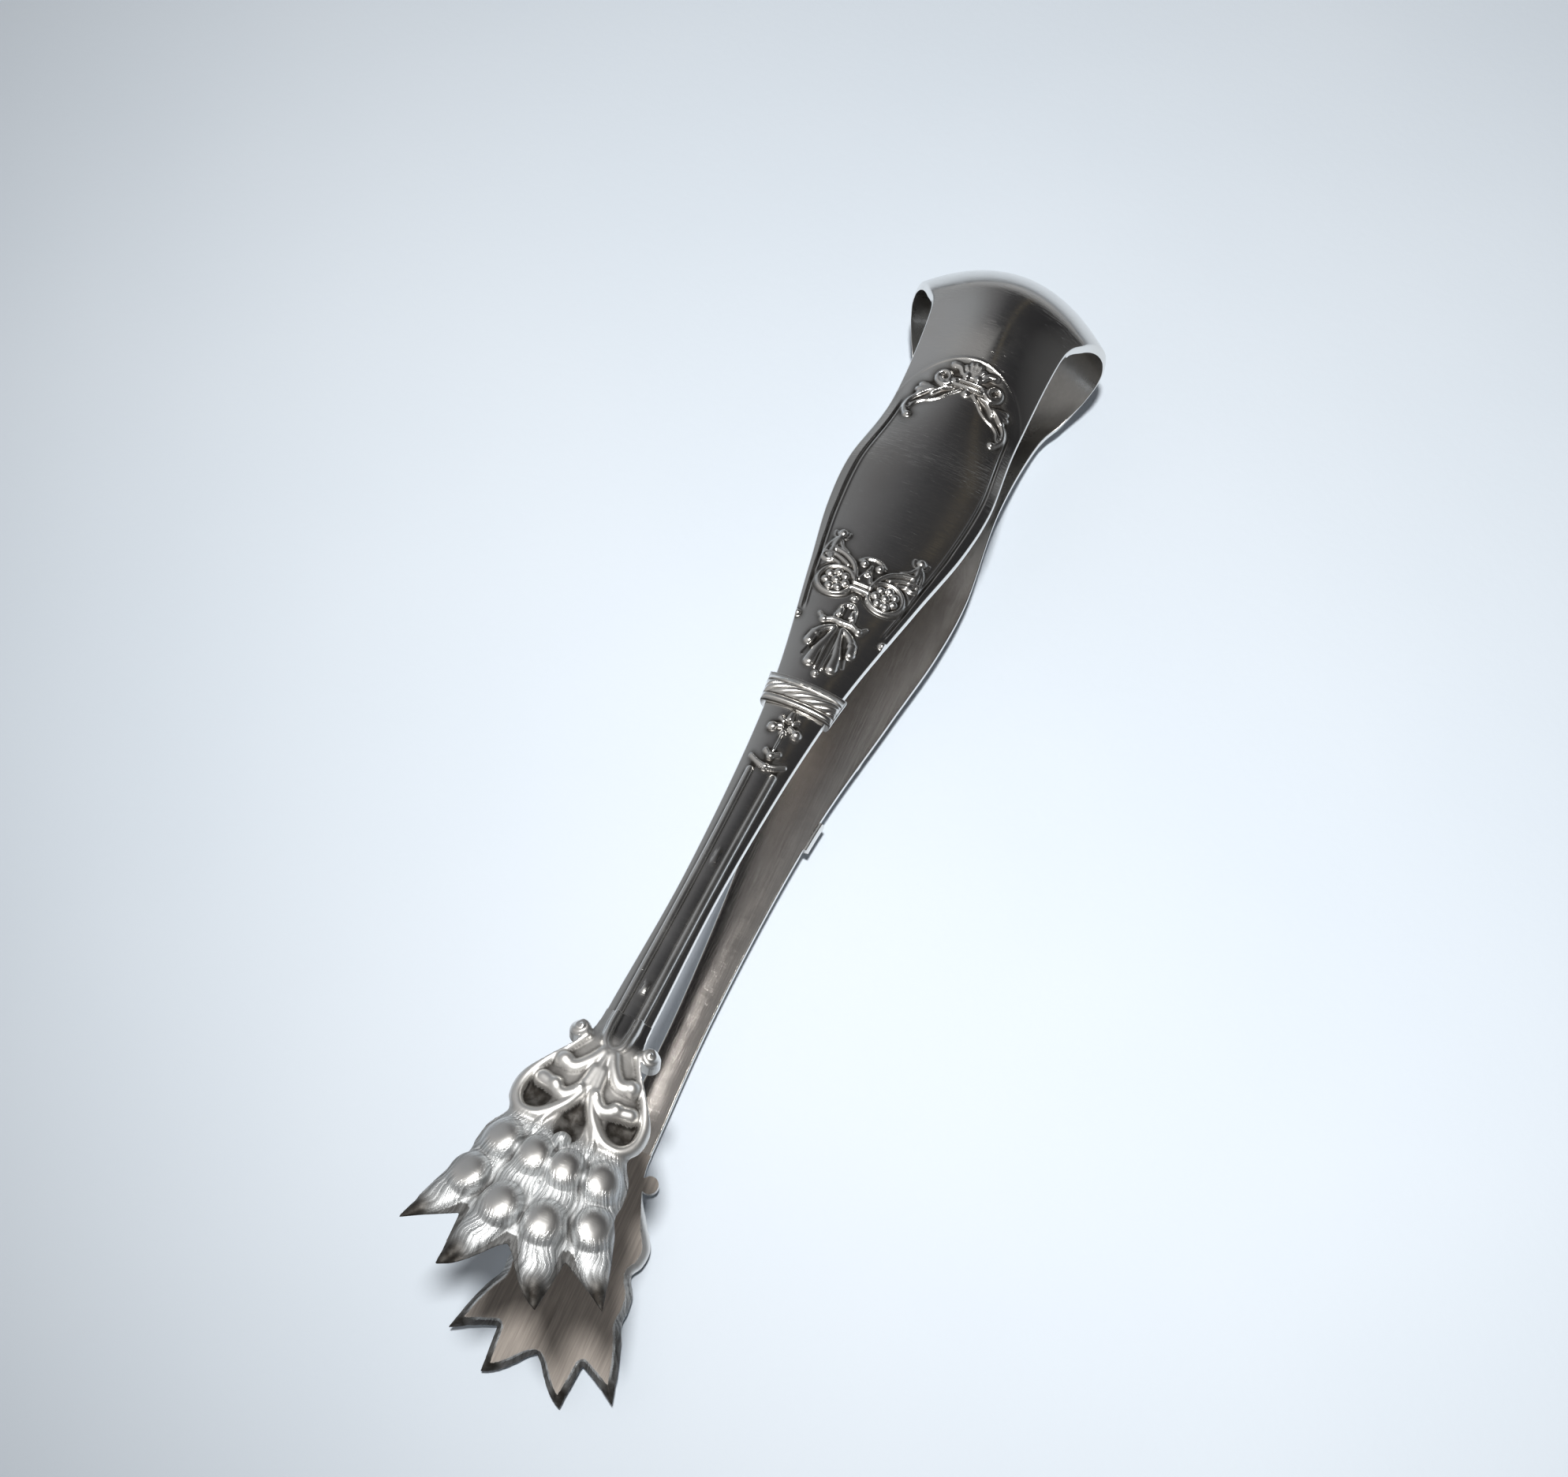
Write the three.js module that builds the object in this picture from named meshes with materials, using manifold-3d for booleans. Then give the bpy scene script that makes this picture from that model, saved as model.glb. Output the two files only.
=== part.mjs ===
// Sugar tongs of the bow type: a dished spring bow, two struck arms with an oval handle panel and
// a ribbed stem, two applied collars and two cast lion's paws with claws.
// Millimetres, +Z up. The tongs lie on the lower arm, claws towards -Y and bow towards +Y.
import * as THREE from 'three';
import { mergeVertices } from 'three/addons/utils/BufferGeometryUtils.js';
import Module from 'manifold-3d';

const wasm = await Module();
wasm.setup();

// Driving dimensions. "back" is measured from the crown of the bow towards the claws, "rise" from
// the plane between the arms to the outer face of the strip, "camber" is how far the strip's edges
// lie below its centre line.
const SHEET = 1.2;
const BOW_RADIUS = 13.5;
const CROWN = { width: 27.7, camber: 5.5 };
const TOP = { width: 19, camber: 3.9 };
const NECK = { back: 28.5, rise: 9.7, width: 17, camber: 2 };
const HANDLE = { back: 42, rise: 11.75, width: 18.8, camber: 1.2 };
const BELLY = { back: 50, rise: 12.9, width: 17.6, camber: 1.05 };
const TAPER = { back: 61, rise: 14.5, width: 13.6, camber: 0.9 };
const COLLAR = { back: 78.9, rise: 16.6, width: 7.5, camber: 0.6 };
const STEM = { back: 104, rise: 19.8, width: 4.4, camber: 0.35 };
const ANKLE = { back: 122, rise: 22.2, width: 4.8, camber: 0.35 };

// The bow is parted at the two lines where it flexes, and the arms are soldered to it at the seam.
const FLEX_ANGLE = 60;
const FLEX_GAP = 0.3;
const SEAM_BACK = 18.5;
const SEAM_GAP = 0.25;

// Relief struck into the arms.
const REED_HEIGHT = 0.4;
const REED_END = 72;
const RIB_HEIGHT = 0.5;
const RIB_START = 86;

// Collar: a cove, a rope and a band that stand proud of the strip and lap over its edges.
const COLLAR_COVE = 1.2;
const COLLAR_ROPE = 1.9;
const COLLAR_BAND = 0.9;
const COLLAR_STAND = 0.75;
const COLLAR_LAP = 0.35;
const ROPE_STRANDS = 5;
const ROPE_LAY = 2.3;

// Paw, in its own frame: across, along from the ankle and out from the strip's outer face.
const PAW_WALL = 1.3;
const PAW_HOLLOW = 0.026;
const CALYX = { along: 11.2, width: 13.8 };
const CALYX_WAIST = { along: 13.8, width: 12.2 };
const PALM = { along: 18, width: 15.4 };
const PALM_END = { along: 24.8, width: 10.4 };
const VOLUTE = { along: 2.9, across: 3.8, radius: 1.15 };
const OUTER_LEAF = { across: 4.5, along: 8.6, out: 0, width: 3.2, length: 7.2, height: 2, splay: 22 };
const INNER_LEAF = { across: 1.9, along: 7.6, out: 0.3, width: 2.2, length: 8, height: 1.8, splay: 9 };
const MIDDLE_LEAF = { across: 0, along: 5, out: 0.4, width: 1.8, length: 7.2, height: 1.8, splay: 0 };
const CALYX_BEAD = { along: 14.4, radius: 0.95 };
const KNUCKLE_RADIUS = 1.85;
const KNUCKLE_BULB = { width: 3.9, length: 4.4, height: 3.6 };
const SADDLE_RADIUS = 1.4;
const CLAW_RADIUS = 1.6;
const CLAW_TIP = 0.28;
const INNER_TOE = { root: [1.35, 13], first: [1.6, 16.8], second: [2.2, 22], claw: [3.2, 25.4], tip: [4.7, 29] };
const OUTER_TOE = { root: [3.9, 12.6], first: [5.1, 16.3], second: [6.4, 20.5], claw: [7.9, 23.5], tip: [10, 26.6] };

// The lowest line of the bow and the lower knuckles are worn flat where the tongs lie.
const WEAR = 0.15;

const radians = THREE.MathUtils.degToRad;
const SILVER = { color: 0xc9c9c6, metalness: 1 };

// Strip: named sections from crown to ankle, on one smooth centre line.

const onBow = (angle) => ({
  back: BOW_RADIUS * (1 - Math.cos(radians(angle))),
  rise: BOW_RADIUS * Math.sin(radians(angle)),
  width: THREE.MathUtils.lerp(TOP.width, CROWN.width, Math.cos(radians(angle))),
  camber: THREE.MathUtils.lerp(TOP.camber, CROWN.camber, Math.cos(radians(angle))),
});
const bowStations = [0, 22.5, 45, 67.5, 90];
const half = bowStations.map(onBow);
const limb = [NECK, HANDLE, BELLY, TAPER, COLLAR, STEM, ANKLE];
const sections = [...half, ...limb];
// The other arm's first sections lead the curve in, so that it is symmetrical at the crown.
const mirrored = half.slice(1, 3).reverse().map((s) => ({ ...s, rise: -s.rise }));
const LEAD = mirrored.length;
const curve = (points) => new THREE.CatmullRomCurve3(points, false, 'centripetal');
const allSections = [...mirrored, ...sections];
const centreLine = curve(allSections.map((s) => new THREE.Vector3(0, -s.back, s.rise)));
const sizeLine = curve(allSections.map((s) => new THREE.Vector3(s.width / 2, -s.back, s.camber)));
const LAST = allSections.length - 1;

// Position on the curves of a station counted in sections from the crown.
const atStation = (station) => (station + LEAD) / LAST;

// Frame of the strip at a station: centre of the outer face, direction of travel, outward normal.
function stripFrame(station) {
  const t = atStation(station);
  const centre = centreLine.getPoint(t);
  const along = centreLine.getTangent(t);
  const out = new THREE.Vector3(0, along.z, -along.y);
  const size = sizeLine.getPoint(t);
  return { centre, along, out, halfWidth: size.x, camber: size.z };
}

// Station whose centre line has come a given distance back from the crown, past the top of the bow.
function stationAtBack(back) {
  let low = bowStations.length - 1;
  let high = sections.length - 1;
  for (let i = 0; i < 40; i += 1) {
    const middle = (low + high) / 2;
    if (-stripFrame(middle).centre.y < back) low = middle;
    else high = middle;
  }
  return (low + high) / 2;
}

// Station on the bow at an angle from the crown.
function stationAtAngle(angle) {
  let low = 0;
  let high = bowStations.length - 1;
  for (let i = 0; i < 40; i += 1) {
    const middle = (low + high) / 2;
    const { centre } = stripFrame(middle);
    const reached = Math.atan2(centre.z, centre.y + BOW_RADIUS);
    if (reached < radians(angle)) low = middle;
    else high = middle;
  }
  return (low + high) / 2;
}

const smooth = (x, from, to) => THREE.MathUtils.smoothstep(x, Math.min(from, to), Math.max(from, to));

// Columns across the strip, from its centre to its edge, with the ribs and the reed on columns.
const RIB_COLUMN = 0.52;
const REED_COLUMN = 0.92;
const HALF_COLUMNS = [0, 0.3, RIB_COLUMN, 0.74, 0.84, REED_COLUMN, 1];
const COLUMNS = [...HALF_COLUMNS.slice(1).reverse().map((u) => -u), ...HALF_COLUMNS];
const RELIEF_FADE = 4;
const ARM_ROWS = 34;

function relief(u, back) {
  const column = Math.abs(u);
  if (column === REED_COLUMN) {
    const begins = smooth(back, SEAM_BACK, SEAM_BACK + RELIEF_FADE);
    return REED_HEIGHT * begins * (1 - smooth(back, REED_END - RELIEF_FADE, REED_END));
  }
  if (column === RIB_COLUMN) return RIB_HEIGHT * smooth(back, RIB_START, RIB_START + RELIEF_FADE);
  return 0;
}

// Closed geometry from points and triangles, turned so that its faces point out.
function closedGeometry(points, triangles) {
  let volume = 0;
  const cross = new THREE.Vector3();
  for (const [a, b, c] of triangles) volume += points[a].dot(cross.crossVectors(points[b], points[c]));
  const faces = volume < 0 ? triangles.map(([a, b, c]) => [a, c, b]) : triangles;
  const geometry = new THREE.BufferGeometry().setFromPoints(points);
  geometry.setIndex(faces.flat());
  return geometry;
}

// Shell between two grids of points of the same size.
function shell(outer, inner) {
  const rows = outer.length;
  const columns = outer[0].length;
  const points = [...outer.flat(), ...inner.flat()];
  const under = rows * columns;
  const at = (i, j) => i * columns + j;
  const triangles = [];
  const quad = (a, b, c, d) => triangles.push([a, b, c], [a, c, d]);
  for (let i = 0; i + 1 < rows; i += 1) {
    for (let j = 0; j + 1 < columns; j += 1) {
      quad(at(i, j), at(i, j + 1), at(i + 1, j + 1), at(i + 1, j));
      quad(under + at(i, j), under + at(i + 1, j), under + at(i + 1, j + 1), under + at(i, j + 1));
    }
    quad(at(i, 0), at(i + 1, 0), under + at(i + 1, 0), under + at(i, 0));
    const e = columns - 1;
    quad(at(i, e), under + at(i, e), under + at(i + 1, e), at(i + 1, e));
  }
  for (let j = 0; j + 1 < columns; j += 1) {
    quad(at(0, j), under + at(0, j), under + at(0, j + 1), at(0, j + 1));
    const e = rows - 1;
    quad(at(e, j), at(e, j + 1), under + at(e, j + 1), under + at(e, j));
  }
  return closedGeometry(points, triangles);
}

// Point of the strip's face at a station, u from -1 to 1 across, raised above the outer face.
function stripPoint(station, u, raise, side, shift = 0) {
  const { centre, along, out, halfWidth, camber } = stripFrame(station);
  const point = centre.clone().addScaledVector(out, raise - camber * u * u).addScaledVector(along, shift);
  return new THREE.Vector3(u * halfWidth, point.y, side * point.z);
}

// Length of sheet between two stations; each end may be drawn in to leave a gap to its neighbour.
function strip(from, to, rows, side, startGap = 0, endGap = 0, struck = false) {
  const outer = [];
  const inner = [];
  for (let i = 0; i < rows; i += 1) {
    const station = from + ((to - from) * i) / (rows - 1);
    const shift = i === 0 ? startGap : i === rows - 1 ? -endGap : 0;
    const back = -stripFrame(station).centre.y;
    outer.push(COLUMNS.map((u) => stripPoint(station, u, struck ? relief(u, back) : 0, side, shift)));
    inner.push(COLUMNS.map((u) => stripPoint(station, u, -SHEET, side, shift)));
  }
  return shell(outer, inner);
}

// Booleans.

function solidOf(geometry) {
  const bare = geometry.clone();
  bare.deleteAttribute('normal');
  bare.deleteAttribute('uv');
  const merged = mergeVertices(bare, 1e-5);
  const mesh = new wasm.Mesh({
    numProp: 3,
    vertProperties: new Float32Array(merged.attributes.position.array),
    triVerts: new Uint32Array(merged.index.array),
  });
  return new wasm.Manifold(mesh);
}

function geometryOf(solid) {
  const { vertProperties, triVerts, numProp } = solid.getMesh();
  const geometry = new THREE.BufferGeometry();
  const position = [];
  for (let i = 0; i < vertProperties.length; i += numProp) position.push(...vertProperties.slice(i, i + 3));
  geometry.setAttribute('position', new THREE.Float32BufferAttribute(position, 3));
  geometry.setIndex([...triVerts]);
  return geometry;
}

const joined = (geometries) => geometries.map(solidOf).reduce((sum, solid) => sum.add(solid));

// Collar: a saddle over the outer face whose ends lap over the strip's edges.

const COLLAR_LENGTH = COLLAR_COVE + COLLAR_ROPE + COLLAR_BAND;
const COLLAR_COLUMNS = 4 * ROPE_STRANDS;
const ROPE_ROWS = 7;

function collarHeight(along, turn) {
  if (along < COLLAR_COVE) {
    const x = along / COLLAR_COVE;
    return COLLAR_STAND * (1 - 0.55 * Math.sin(Math.PI * x));
  }
  if (along < COLLAR_COVE + COLLAR_ROPE) {
    const x = (along - COLLAR_COVE) / COLLAR_ROPE;
    const strand = 0.75 + 0.25 * Math.cos(2 * Math.PI * (turn * ROPE_STRANDS + ROPE_LAY * x));
    return COLLAR_STAND * (0.5 + 0.9 * Math.sin(Math.PI * x) * strand);
  }
  return COLLAR_STAND * 0.8;
}

function collar(side) {
  const station = stationAtBack(COLLAR.back);
  const { centre, along, out, halfWidth, camber } = stripFrame(station);
  const place = (x, v, h) => {
    const p = centre.clone().addScaledVector(along, v - COLLAR_LENGTH / 2).addScaledVector(out, h);
    return new THREE.Vector3(x, p.y, side * p.z);
  };
  const steps = [0, 0.5, 1].map((x) => x * COLLAR_COVE);
  for (let i = 1; i <= ROPE_ROWS; i += 1) steps.push(COLLAR_COVE + (i / ROPE_ROWS) * COLLAR_ROPE);
  steps.push(COLLAR_LENGTH);
  // The arm widens towards the handle, so each ring takes the width of the strip under it.
  const ring = (v, lift, lap) => {
    const shift = v - COLLAR_LENGTH / 2;
    const under = stripFrame(stationAtBack(COLLAR.back + shift * -along.y));
    const reach = under.halfWidth + SEAM_GAP + lap;
    const points = [];
    for (let j = 0; j <= COLLAR_COLUMNS; j += 1) {
      const turn = j / COLLAR_COLUMNS - 0.5;
      const u = 2 * turn;
      points.push(place(u * reach, v, SEAM_GAP - camber * u * u + lift(turn)));
    }
    const drop = -camber - SHEET;
    return [place(-reach, v, drop), ...points, place(reach, v, drop)];
  };
  const outer = steps.map((v) => ring(v, (turn) => collarHeight(v, turn + 0.5), COLLAR_LAP));
  const inner = steps.map((v) => ring(v, () => 0, 0));
  return shell(outer, inner);
}

// Paw.

const pawFrame = stripFrame(sections.length - 1);
const pawPoint = (across, along, out, side) => {
  const p = pawFrame.centre.clone().addScaledVector(pawFrame.along, along).addScaledVector(pawFrame.out, out);
  return new THREE.Vector3(across, p.y, side * p.z);
};
const pawFace = (across) => -PAW_HOLLOW * across * across;

// Columns of the tool that scoops out the back of the casting.
const SCOOP_COLUMNS = 13;

// Toe: rings along a path from the palm over two knuckles to the point of the claw.
const TOE_SIDES = 8;
const TOE_FLATNESS = 0.85;
const TOE_LEAD = { root: -0.9, first: 0.1, second: 0.2, claw: -0.35, tip: -0.7 };
const knuckleTop = (name) => TOE_LEAD[name] + TOE_FLATNESS * KNUCKLE_RADIUS;

function toe(spec, mirror) {
  const radius = { root: SADDLE_RADIUS, first: KNUCKLE_RADIUS, second: KNUCKLE_RADIUS, claw: CLAW_RADIUS };
  const names = Object.keys(TOE_LEAD);
  const path = names.map((name) => {
    const [across, along] = spec[name];
    const flatten = name === 'tip' ? 0.5 : 1;
    return new THREE.Vector3(mirror * across, along, flatten * pawFace(across) + TOE_LEAD[name]);
  });
  const centre = curve(path);
  const girth = (name) => new THREE.Vector3(radius[name] ?? CLAW_TIP, 0, 0);
  const rings = [];
  const spans = names.length - 1;
  const PER_SPAN = 2;
  for (let i = 0; i <= spans * PER_SPAN; i += 1) {
    const t = i / (spans * PER_SPAN);
    const span = Math.min(Math.floor(t * spans), spans - 1);
    const x = t * spans - span;
    const a = girth(names[span]).x;
    const b = girth(names[span + 1]).x;
    // Knuckles swell and the length between two knuckles is waisted.
    const waist = names[span] === 'first' ? (SADDLE_RADIUS - KNUCKLE_RADIUS) * Math.sin(Math.PI * x) : 0;
    const r = a + (b - a) * THREE.MathUtils.smoothstep(x, 0, 1) + waist;
    const p = centre.getPoint(t);
    const d = centre.getTangent(t).setZ(0).normalize();
    const ring = [];
    for (let k = 0; k < TOE_SIDES; k += 1) {
      const angle = (2 * Math.PI * k) / TOE_SIDES;
      const w = r * Math.cos(angle);
      ring.push([p.x - d.y * w, p.y + d.x * w, p.z + TOE_FLATNESS * r * Math.sin(angle)]);
    }
    rings.push(ring);
  }
  return rings;
}

function tube(rings, side) {
  const sides = rings[0].length;
  const points = rings.flat().map(([across, along, out]) => pawPoint(across, along, out, side));
  const triangles = [];
  for (let i = 0; i + 1 < rings.length; i += 1) {
    for (let k = 0; k < sides; k += 1) {
      const a = i * sides + k;
      const b = i * sides + ((k + 1) % sides);
      triangles.push([a, b, b + sides], [a, b + sides, a + sides]);
    }
  }
  const end = (rings.length - 1) * sides;
  for (let k = 1; k + 1 < sides; k += 1) triangles.push([0, k + 1, k], [end, end + k, end + k + 1]);
  return closedGeometry(points, triangles);
}

// Rounded leaf, ball or knuckle, turned in the plane of the paw.
function leaf({ across, along, out, width, length, height, splay }, mirror, side) {
  const sphere = mergeVertices(new THREE.SphereGeometry(1, 8, 6).deleteAttribute('normal').deleteAttribute('uv'));
  const position = sphere.attributes.position;
  const points = [];
  const c = Math.cos(radians(splay));
  const s = Math.sin(radians(splay));
  for (let i = 0; i < position.count; i += 1) {
    const x = (position.getX(i) * width) / 2;
    const y = (position.getY(i) * length) / 2;
    const z = (position.getZ(i) * height) / 2;
    points.push(pawPoint(mirror * (across + c * x + s * y), along - s * x + c * y, out + z, side));
  }
  const index = [...sphere.index.array];
  const triangles = [];
  for (let i = 0; i < index.length; i += 3) triangles.push(index.slice(i, i + 3));
  return closedGeometry(points, triangles.filter(([a, b, d]) => a !== b && b !== d && a !== d));
}

// Bulb of a knuckle; its top is the top of the toe there.
function knuckle(spec, name) {
  const [across, along] = spec[name];
  const out = pawFace(across) + knuckleTop(name) - KNUCKLE_BULB.height / 2;
  return { ...KNUCKLE_BULB, across, along, out, splay: 0 };
}

const ball = ({ across = 0, along, radius }) => {
  const size = 2 * radius;
  return { across, along, out: pawFace(across), width: size, length: size, height: size, splay: 0 };
};

function paw(side) {
  const outline = curve(
    [
      [ANKLE.width / 2, SEAM_GAP],
      [VOLUTE.across - VOLUTE.radius / 2, VOLUTE.along],
      [(VOLUTE.across + CALYX.width / 2) / 2, (VOLUTE.along + CALYX.along) / 2],
      [CALYX.width / 2, CALYX.along],
      [CALYX_WAIST.width / 2, CALYX_WAIST.along],
      [PALM.width / 2, PALM.along],
      [PALM_END.width / 2, PALM_END.along],
    ].map(([x, y]) => new THREE.Vector3(x, y, 0)),
  );
  const rows = 15;
  const outer = [];
  const inner = [];
  for (let i = 0; i < rows; i += 1) {
    const edge = outline.getPoint(i / (rows - 1));
    const across = [-1, -0.75, -0.5, -0.25, 0, 0.25, 0.5, 0.75, 1].map((u) => u * edge.x);
    outer.push(across.map((x) => pawPoint(x, edge.y, pawFace(x), side)));
    inner.push(across.map((x) => pawPoint(x, edge.y, pawFace(x) - 2 * PAW_WALL, side)));
  }
  const bodies = [shell(outer, inner)];
  for (const mirror of [-1, 1]) {
    for (const spec of [INNER_TOE, OUTER_TOE]) {
      bodies.push(tube(toe(spec, mirror), side));
      for (const name of ['first', 'second']) bodies.push(leaf(knuckle(spec, name), mirror, side));
    }
    for (const spec of [ball(VOLUTE), OUTER_LEAF, INNER_LEAF]) bodies.push(leaf(spec, mirror, side));
  }
  for (const spec of [MIDDLE_LEAF, ball(CALYX_BEAD)]) bodies.push(leaf(spec, 1, side));
  // The casting is hollow behind: everything under the wall is scooped out.
  const reach = OUTER_TOE.tip[0] + KNUCKLE_RADIUS;
  const deep = 4 * KNUCKLE_RADIUS + PAW_HOLLOW * reach * reach;
  const across = Array.from({ length: SCOOP_COLUMNS }, (_, j) => reach * ((2 * j) / (SCOOP_COLUMNS - 1) - 1));
  const ends = [SEAM_GAP - 1, INNER_TOE.tip[1] + 1];
  const top = ends.map((y) => across.map((x) => pawPoint(x, y, pawFace(x) - PAW_WALL, side)));
  const bottom = ends.map((y) => across.map((x) => pawPoint(x, y, -deep, side)));
  return joined(bodies).subtract(solidOf(shell(top, bottom)));
}

// Assembly. In the group's own frame the plane between the arms is level.

const tongs = new THREE.Group();
function add(name, geometry, colour = SILVER.color, roughness = 0.2) {
  const material = new THREE.MeshStandardMaterial({ color: colour, roughness, metalness: SILVER.metalness });
  const flat = geometry.index ? geometry : mergeVertices(geometry);
  flat.computeVertexNormals();
  const mesh = new THREE.Mesh(flat, material);
  mesh.name = name;
  tongs.add(mesh);
  return mesh;
}

const flex = stationAtAngle(FLEX_ANGLE);
const seam = stationAtBack(SEAM_BACK);
const ankle = sections.length - 1;

// The table: the plane through the lower knuckles that is tangent to the bow.
const rest = pawPoint(0, INNER_TOE.second[1], pawFace(INNER_TOE.second[0]) + knuckleTop('second'), -1);
const fromBow = new THREE.Vector2(-BOW_RADIUS - rest.y, -rest.z);
const tilt = Math.atan2(fromBow.y, fromBow.x) - Math.asin(BOW_RADIUS / fromBow.length());
tongs.rotation.x = -tilt;
tongs.updateMatrix();
const tableHeight = rest.clone().applyMatrix4(tongs.matrix).z + WEAR;
const TABLE = 400;
const table = new THREE.BoxGeometry(TABLE, TABLE, TABLE).translate(0, 0, tableHeight - TABLE / 2);
const worn = (solid) => solid.subtract(solidOf(table.clone().applyMatrix4(tongs.matrix.clone().invert())));

// The crown spans both flexing lines; its lower half is the upper half mirrored.
function crown() {
  const rows = 8;
  const stations = Array.from({ length: rows }, (_, i) => (flex * i) / (rows - 1));
  const row = (station, raise, side, shift) => COLUMNS.map((u) => stripPoint(station, u, raise, side, shift));
  const shiftOf = (i) => (i === rows - 1 ? -FLEX_GAP / 2 : 0);
  const grid = (raise) => {
    const upper = stations.map((station, i) => row(station, raise, 1, shiftOf(i)));
    const lower = stations.slice(1).map((station, i) => row(station, raise, -1, shiftOf(i + 1)));
    return [...lower.reverse(), ...upper];
  };
  return shell(grid(0), grid(-SHEET));
}

add('bow_crown', crown(), SILVER.color, 0.12);
for (const [prefix, side] of [['upper', 1], ['lower', -1]]) {
  const bowLimb = strip(flex, seam, 9, side, FLEX_GAP / 2, SEAM_GAP / 2);
  add(`${prefix}_bow_limb`, side < 0 ? geometryOf(worn(solidOf(bowLimb))) : bowLimb, SILVER.color, 0.12);
  add(`${prefix}_arm`, strip(seam, ankle, ARM_ROWS, side, SEAM_GAP / 2, 0, true), 0x9d9d9b, 0.25);
  add(`${prefix}_collar`, collar(side), 0xb5b5b2, 0.3);
  const casting = paw(side);
  add(`${prefix}_paw`, geometryOf(side < 0 ? worn(casting) : casting), 0xb9b9b6, 0.3);
}

// Origin at the middle of the foot print, on the table.
const box = new THREE.Box3().setFromObject(tongs, true);
tongs.position.set(0, -(box.min.y + box.max.y) / 2, -tableHeight);
tongs.updateMatrixWorld(true);

export default tongs;
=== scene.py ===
"""Silver sugar tongs with lion's paws: the look of every piece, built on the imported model."""
import math

import bpy
import numpy as np
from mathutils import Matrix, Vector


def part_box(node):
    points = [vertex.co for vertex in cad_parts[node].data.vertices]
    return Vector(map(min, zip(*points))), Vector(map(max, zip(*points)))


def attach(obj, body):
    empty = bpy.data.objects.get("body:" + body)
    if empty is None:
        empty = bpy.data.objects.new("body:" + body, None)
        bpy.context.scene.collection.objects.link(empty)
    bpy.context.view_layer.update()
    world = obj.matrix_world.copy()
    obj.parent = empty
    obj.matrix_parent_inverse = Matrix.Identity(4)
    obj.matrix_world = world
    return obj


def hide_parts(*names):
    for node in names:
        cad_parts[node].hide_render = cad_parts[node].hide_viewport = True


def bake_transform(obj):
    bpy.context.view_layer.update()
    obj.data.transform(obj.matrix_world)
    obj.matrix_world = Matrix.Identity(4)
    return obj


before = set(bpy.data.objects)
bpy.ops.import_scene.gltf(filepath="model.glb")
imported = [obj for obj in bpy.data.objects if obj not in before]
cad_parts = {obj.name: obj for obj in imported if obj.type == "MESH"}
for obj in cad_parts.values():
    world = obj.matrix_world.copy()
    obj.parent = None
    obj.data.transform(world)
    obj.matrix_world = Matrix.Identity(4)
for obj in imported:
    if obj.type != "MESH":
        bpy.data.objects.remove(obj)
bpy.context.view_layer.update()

import openvdb
from mathutils import Matrix, Vector

MM = 0.001

# Strip that makes the bow and both arms, in millimetres: "back" is measured from the crown of the
# bow towards the claws, "rise" from the plane between the arms to the outer face, "camber" is how
# far the edges lie below the centre line. The crown and the top of the bow have a width and a camber;
# the sections from the neck to the ankle have a back, a rise, a width and a camber.
SHEET = 1.2
EDGE_BULGE = 0.18
EDGE_POWER = 0.6
BOW_RADIUS = 13.5
BOW_ANGLES = (0, 22.5, 45, 67.5, 90)
CROWN = (27.7, 5.5)
TOP = (19.0, 3.9)
NECK = (28.5, 9.7, 17.0, 2.0)
HANDLE = (42.0, 11.75, 18.8, 1.2)
BELLY = (50.0, 12.9, 17.6, 1.05)
TAPER = (61.0, 14.5, 13.6, 0.9)
COLLAR = (78.9, 16.6, 7.5, 0.6)
STEM = (104.0, 19.8, 4.4, 0.35)
ANKLE = (122.0, 22.2, 4.8, 0.35)
SEAM_BACK = 18.5

# Depth of the flats that wear leaves where the tongs touch the table.
WEAR = 0.15

# Fineness of the table of lengths along the strip, and the step that gives its direction.
LINE_SAMPLES = 4001
NUDGE = 1e-3

# Paw, in its own frame: across, along from the ankle, and out from the strip's outer face.
PAW_WALL = 1.3
PAW_HOLLOW = 0.026
PAW_LEVEL = 8.2
LEVEL_POWER = 4

# Knuckle that touches the table: its place across and along, and its height over the dished face.
REST_KNUCKLE = (2.2, 22.0)
KNUCKLE_TOP = 1.7725

# Less than any length that counts.
TINY = 1e-9


# Curves and the strip's frame.

class Spline:
    """Centripetal Catmull-Rom curve; its parameter counts the points from the first."""

    def __init__(self, points):
        p = np.asarray(points, float)
        self.count = len(p)
        self.points = np.vstack([2 * p[0] - p[1], p, 2 * p[-1] - p[-2]])

    def at(self, parameter):
        """Points at one parameter or more."""
        t = np.atleast_1d(np.asarray(parameter, float))
        i = np.clip(np.floor(t).astype(int), 0, self.count - 2)
        w = (t - i)[:, None]
        p0, p1, p2, p3 = (self.points[i + k] for k in range(4))
        d0, d1, d2 = (np.linalg.norm(b - a, axis=1, keepdims=True) ** 0.5
                      for a, b in ((p0, p1), (p1, p2), (p2, p3)))
        m1 = ((p1 - p0) / d0 - (p2 - p0) / (d0 + d1) + (p2 - p1) / d1) * d1
        m2 = ((p2 - p1) / d1 - (p3 - p1) / (d1 + d2) + (p3 - p2) / d2) * d1
        c2 = 3 * (p2 - p1) - 2 * m1 - m2
        c3 = 2 * (p1 - p2) + m1 + m2
        return p1 + w * (m1 + w * (c2 + w * c3))

    def sample(self, count):
        """Points at even steps of the parameter, from end to end."""
        return self.at(np.linspace(0, self.count - 1, count))


def smooth(x, low, high):
    """Soft step from 0 at the low end to 1 at the high end."""
    t = np.clip((np.asarray(x, float) - low) / (high - low), 0, 1)
    return t * t * (3 - 2 * t)


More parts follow.
